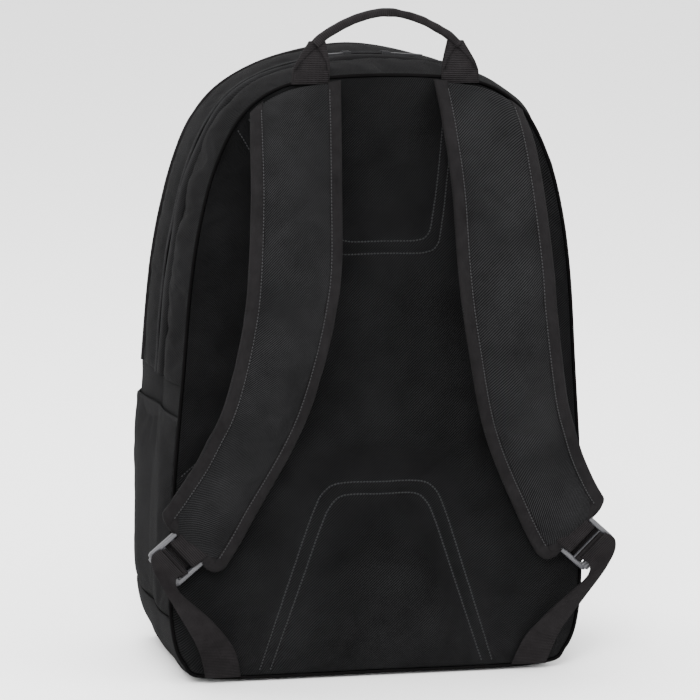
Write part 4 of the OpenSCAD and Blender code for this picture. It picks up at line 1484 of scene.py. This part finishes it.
class BACKPACK_OT_buckles(bpy.types.Operator):
    """Ladder locks with their tabs, lower webbing and tails"""

    bl_idname = "backpack.buckles"
    bl_label = "Buckles and Webbing"

    def execute(self, context):
        for side in (-1, 1):
            name = side_name(side)
            self.lower_webbing(side, context)
            self.tab(side, context)
            self.tail(side, context)
            lock = self.lock(side, context)
            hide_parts(f"ladder_lock_{name}")
            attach(lock, f"buckle_{name}")
        return {"FINISHED"}

    def at_lock(self, x, y, z):
        """A point in the ladder lock's own axes, in millimetres, on the right side."""
        ax, ay, az = lock_frame()
        return np.array(LOCK_POS + (ax * x + ay * y + az * z) * MM)

    def lower_webbing(self, side, context):
        """Webbing from the base seam up to the ladder lock."""
        sizes = context.scene.backpack_sizes
        name = side_name(side)
        route, ways = mirror_points(WEBBING_ROUTE, side), mirror_points(WEBBING_SIDES, side)
        webbing = flat_webbing(f"lower_webbing_{name}", route, ways, sizes)
        face_out(webbing)
        mark(webbing, 0.4)
        paint(webbing, finish("webbing", context))
        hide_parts(f"strap_webbing_{name}")
        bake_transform(webbing)

    def tab(self, side, context):
        """Loop of webbing from the strap's end round the lock's first bar."""
        sizes = context.scene.backpack_sizes
        half = [(-9, -3.0), (-4, -2.9), (0, -2.7), (3, -2.6), (5.4, -1.9)]
        section = [*half, (6.4, 0), *((y, -z) for y, z in half[::-1])]
        centres = mirror_points(np.array([self.at_lock(0, y, z) for y, z in section]), side)
        ways = mirror_points(np.tile(np.array(LOCK_BAR), (len(section), 1)), side)
        tab = flat_webbing(f"strap_tab_{side_name(side)}_loop", centres, ways, sizes, steps=6)
        face_out(tab)
        mark(tab, 0.4)
        paint(tab, finish("webbing", context))
        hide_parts(f"strap_tab_{side_name(side)}")
        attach(tab, f"strap_{side_name(side)}")

    def tail(self, side, context):
        """Webbing round the lock's middle bar and the loose tail behind the strap's end."""
        sizes = context.scene.backpack_sizes
        wrap = [
            (11.5, -3.4), (13, -2.7), (16.0, -2.0), (17.6, 0), (16.4, 2.2),
            (13, 3.4), (8, 5.6), (0, 7.6), (-10, 8.2), (-22, 7.8),
        ]
        centres = mirror_points(np.array([self.at_lock(0, y, z) for y, z in wrap]), side)
        ways = mirror_points(np.tile(np.array(LOCK_BAR), (len(wrap), 1)), side)
        tail = flat_webbing(f"webbing_tail_{side_name(side)}_end", centres, ways, sizes, steps=8)
        face_out(tail)
        mark(tail, 0.4)
        paint(tail, finish("webbing", context))
        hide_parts(f"webbing_tail_{side_name(side)}")
        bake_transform(tail)

    def lock(self, side, context):
        """Moulded ladder lock: two side rails, three bars, and a lip to pull on."""
        parts = []
        for x in (-15.2, 15.2):
            parts.append(self.bar((x, 10.2, 0), (3.6, 25.5, 4.4), 1.2))
        for y, depth, width in ((4, 3.4, 3.4), (13, 3.0, 3.6), (22, 3.8, 4.6)):
            parts.append(self.bar((0, y, 0), (33, width, depth), 1.1))
        parts.append(self.bar((0, 24.4, -1.2), (29, 3.4, 2.6), 1.0))
        lock = join_pieces(parts, f"ladder_lock_{side_name(side)}_moulding")
        finish_with(lock, "REMESH", mode="VOXEL", voxel_size=0.00035)
        finish_with(lock, "SMOOTH", factor=0.5, iterations=3)
        finish_with(lock, "DECIMATE", ratio=0.35)
        ax, ay, az = lock_frame()
        place = Matrix((
            (ax.x, ay.x, az.x, LOCK_POS.x), (ax.y, ay.y, az.y, LOCK_POS.y),
            (ax.z, ay.z, az.z, LOCK_POS.z), (0, 0, 0, 1),
        ))
        lock.data.transform(place)
        if side < 0:
            lock.data.transform(Matrix.Scale(-1, 4, (1, 0, 0)))
        lock.data.polygons.foreach_set("use_smooth", np.ones(len(lock.data.polygons), bool))
        face_out(lock)
        paint(lock, finish("buckle", context))
        return lock

    def bar(self, centre, size, rounding):
        """A round-edged bar in the lock's own axes, in millimetres."""
        deselect_all()
        bpy.ops.mesh.primitive_cube_add(size=1, location=Vector(centre) * MM, scale=Vector(size) * MM)
        bpy.ops.object.transform_apply(location=True, rotation=True, scale=True)
        piece = bpy.context.object
        finish_with(piece, "BEVEL", width=rounding * MM, segments=3)
        return piece


class BACKPACK_OT_handle(bpy.types.Operator):
    """Haul handle: a folded webbing grip and its two flat ends"""

    bl_idname = "backpack.handle"
    bl_label = "Haul Handle"

    def execute(self, context):
        sizes = context.scene.backpack_sizes
        y = -0.0775
        grip = self.grip(y)
        ends = self.ends(y, sizes)
        for piece, node in ((grip, "handle_grip"), (ends, "handle_webbing")):
            mark(piece, 0.5)
            paint(piece, finish("webbing", context))
            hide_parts(node)
            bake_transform(piece)
        return {"FINISHED"}

    def grip(self, y):
        """Webbing folded in half over the arch of the handle."""
        right = np.array([(52.5, 462.3), (47, 467.5), (38, 473.2), (24.5, 479.8), (10, 484), (0, 485)])
        route = np.vstack([right * (-1, 1), right[-2::-1]]) * MM
        u = np.linspace(0, len(route) - 1, 140)
        c = catmull(route, u)
        ahead = catmull(route, np.minimum(u + 0.1, len(route) - 1))
        d = unit(ahead - catmull(route, np.maximum(u - 0.1, 0)))
        out = np.stack([-d[:, 1], np.zeros(len(u)), d[:, 0]], 1)
        centre = np.stack([c[:, 0], np.full(len(u), y), c[:, 1]], 1)
        angle = np.linspace(0, 2 * np.pi, 28, endpoint=False)
        wide = np.sign(np.cos(angle)) * np.abs(np.cos(angle)) ** 0.6 * 0.0063
        thick = np.sign(np.sin(angle)) * np.abs(np.sin(angle)) ** 0.75 * 0.0029
        ring = centre[:, None] + out[:, None] * thick[None, :, None]
        ring = ring + np.array([0, 1, 0]) * wide[None, :, None]
        ring += 0.0002 * ripple(ring, 0.012, 131)[..., None] * out[:, None]
        piece = grid_piece("handle_grip_fold", ring, closed_across=True, capped=True)
        face_out(piece)
        return piece

    def ends(self, y, sizes):
        """Flat webbing from the seam up to the grip, narrowing as it folds."""
        made = []
        for side in (-1, 1):
            z = np.linspace(434, 465, 32)
            middle = np.interp(z, [434, 445, 465], [55.2, 54.6, 50.6])
            half = np.interp(z, [434, 443, 450, 457, 462, 465], [13.3, 13.2, 11.6, 8.8, 6.6, 5.4])
            rows = [self.folded(c, h, 13.3 - h, sizes) for c, h in zip(middle, half)]
            ring = np.stack([
                np.column_stack([r[:, 0] * side, y / MM - r[:, 1], np.full(len(r), height)])
                for r, height in zip(rows, z)
            ])
            made.append(grid_piece(f"handle_end_{side}", ring * MM, closed_across=True, capped=True))
        piece = join_pieces(made, "handle_ends")
        face_out(piece)
        return piece

    def folded(self, centre, half, spare, sizes):
        """Section of webbing whose spare width folds over its front edges, in millimetres."""
        t = sizes.webbing_thickness / MM
        lip = min(spare, half * 0.95)
        rise = t + 1.05 * t * min(lip / 2, 1)
        side = [
            (half, 0), (half + 0.5, 0.3 * t), (half + 0.7, 0.5 * rise), (half + 0.4, 0.9 * rise),
            (half - 0.3, rise), (half - 0.5 * lip - 0.3, rise), (half - lip - 0.3, rise - 0.1),
            (half - lip - 0.6, (rise + t) / 2), (half - lip - 0.2, t + 0.04), (half - 0.4, t + 0.02),
        ]
        right = np.array([*side, (half * 0.5, t)])
        left = right[::-1] * (-1, 1)
        section = np.vstack([right, (0, t), left, (-half * 0.5, 0), (0, 0), (half * 0.5, 0)])
        return section + (centre, -t / 2)


class BACKPACK_OT_interior(bpy.types.Operator):
    """Lining of the back and the laptop sleeve, seen when the bag is open"""

    bl_idname = "backpack.interior"
    bl_label = "Interior"

    def execute(self, context):
        flat = filled_outline(BACK_HALF, LINING_INSET, columns=60, rows=84, dense=300)
        low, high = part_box("back_lining")
        points = np.stack([flat[..., 0], np.full(flat.shape[:2], high.y), flat[..., 1]], -1)
        points[..., 1] += 0.0008 * ripple(points, 0.06, 141)
        lining = grid_piece("back_lining_cloth", points, flip=True)
        give_thickness(lining, 0.0008)
        paint(lining, finish("lining", context))
        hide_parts("back_lining")
        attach(lining, "pack")

        low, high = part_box("laptop_sleeve")
        x, z = np.linspace(low.x, high.x, 60), np.linspace(low.z, high.z, 66)
        grid = np.stack(np.broadcast_arrays(x[None], high.y, z[:, None]), -1).copy()
        rim = np.minimum(x - low.x, high.x - x)[None]
        grid[..., 1] += 0.0012 * smooth(rim / 0.03) * (0.5 + ripple(grid, 0.07, 151))
        sleeve = grid_piece("laptop_sleeve_cloth", grid, flip=True)
        give_thickness(sleeve, 0.0024)
        paint(sleeve, finish("lining", context))
        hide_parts("laptop_sleeve")
        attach(sleeve, "pack")

        low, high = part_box("sleeve_binding")
        x = np.linspace(low.x, high.x, 80)
        y0, y1, z0, z1 = low.y, high.y, low.z - 0.004, high.z
        section = np.array([
            (y0, z0), (y0, z1 - 0.001), (y0 + 0.001, z1), (y1 - 0.001, z1), (y1, z1 - 0.001), (y1, z0)
        ])
        ring = np.stack([
            np.broadcast_to(x[:, None], (80, 6)), np.broadcast_to(section[:, 0], (80, 6)),
            np.broadcast_to(section[:, 1], (80, 6)),
        ], -1)
        tape = grid_piece("sleeve_tape", ring, closed_across=True, capped=True)
        face_out(tape)
        paint(tape, finish("binding", context))
        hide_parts("sleeve_binding")
        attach(tape, "pack")
        return {"FINISHED"}


class BACKPACK_OT_stage(bpy.types.Operator):
    """Floor, lights and camera"""

    bl_idname = "backpack.stage"
    bl_label = "Stage"

    def execute(self, context):
        deselect_all()
        bpy.ops.mesh.primitive_plane_add(size=16, location=(0, 0, 0))
        floor = bpy.context.object
        floor.name = "floor"
        nodes = Nodes("pale_floor")
        nodes.shader.inputs["Base Color"].default_value = (0.93, 0.93, 0.93, 1)
        nodes.shader.inputs["Roughness"].default_value = 0.9
        floor.data.materials.append(nodes.material)
        world = bpy.data.worlds.new("studio")
        world.use_nodes = True
        world.node_tree.nodes["Background"].inputs["Color"].default_value = (1, 1, 1, 1)
        world.node_tree.nodes["Background"].inputs["Strength"].default_value = 2.3
        context.scene.world = world
        for name, place, size, power in (
            ("key", (-1.0, -2.9, 2.3), 1.4, 190), ("fill", (2.2, -2.0, 1.4), 2.0, 40),
            ("top", (-0.4, 0.3, 2.8), 1.6, 90),
        ):
            self.light(name, Vector(place), size, power)
        self.camera(context)
        return {"FINISHED"}

    def light(self, name, place, size, power):
        """An area lamp that points at the bag."""
        data = bpy.data.lights.new(name, "AREA")
        data.size = size
        data.energy = power
        lamp = bpy.data.objects.new(name, data)
        lamp.location = place
        lamp.rotation_euler = (Vector((0, 0, 0.22)) - place).to_track_quat("-Z", "Y").to_euler()
        bpy.context.scene.collection.objects.link(lamp)

    def camera(self, context):
        """The camera, a little to the left of the bag and a little above it."""
        yaw, lift, roll, distance = math.radians(13.75), math.radians(9.42), math.radians(0.79), 2.8
        target = Vector((-0.0228, -0.075, 0.242))
        level_out = math.cos(lift)
        ahead = Vector((math.sin(yaw) * level_out, math.cos(yaw) * level_out, -math.sin(lift)))
        level = Vector((math.cos(yaw), -math.sin(yaw), 0))
        up = level.cross(ahead)
        right = level * math.cos(roll) + up * math.sin(roll)
        upright = up * math.cos(roll) - level * math.sin(roll)
        data = bpy.data.cameras.new("camera")
        data.lens, data.sensor_width = 200, 36
        data.clip_end = 50
        camera = bpy.data.objects.new("camera", data)
        place = target - ahead * distance
        camera.matrix_world = Matrix((
            (right.x, upright.x, -ahead.x, place.x), (right.y, upright.y, -ahead.y, place.y),
            (right.z, upright.z, -ahead.z, place.z), (0, 0, 0, 1),
        ))
        context.scene.collection.objects.link(camera)
        context.scene.camera = camera


class BACKPACK_PT_panel(bpy.types.Panel):
    """Lists the steps that build the backpack."""

    bl_idname = "BACKPACK_PT_panel"
    bl_label = "School Backpack"
    bl_space_type = "VIEW_3D"
    bl_region_type = "UI"
    bl_category = "Backpack"

    def draw(self, context):
        for operator in OPERATORS:
            self.layout.operator(operator.bl_idname)
        for group in (context.scene.backpack_sizes, context.scene.backpack_colours):
            for name in group.bl_rna.properties.keys():
                if name not in ("rna_type", "name"):
                    self.layout.prop(group, name)


OPERATORS = (
    BACKPACK_OT_stage, BACKPACK_OT_back_panel, BACKPACK_OT_shell, BACKPACK_OT_seams_and_flaps,
    BACKPACK_OT_main_zip, BACKPACK_OT_side_pockets, BACKPACK_OT_front_pocket,
    BACKPACK_OT_shoulder_straps, BACKPACK_OT_buckles, BACKPACK_OT_handle, BACKPACK_OT_interior,
)
CLASSES = (BackpackSizes, BackpackColours, *OPERATORS, BACKPACK_PT_panel)


def register():
    """Adds the classes and the properties to the program."""
    for item in CLASSES:
        bpy.utils.register_class(item)
    bpy.types.Scene.backpack_sizes = bpy.props.PointerProperty(type=BackpackSizes)
    bpy.types.Scene.backpack_colours = bpy.props.PointerProperty(type=BackpackColours)


def unregister():
    """Takes them out again."""
    del bpy.types.Scene.backpack_colours
    del bpy.types.Scene.backpack_sizes
    for item in reversed(CLASSES):
        bpy.utils.unregister_class(item)


def main():
    """Builds the whole bag with its operators."""
    register()
    for name in (
        "stage", "back_panel", "shell", "seams_and_flaps", "main_zip", "side_pockets",
        "front_pocket", "shoulder_straps", "buckles", "handle", "interior",
    ):
        getattr(bpy.ops.backpack, name)()


if __name__ == "__main__":
    main()
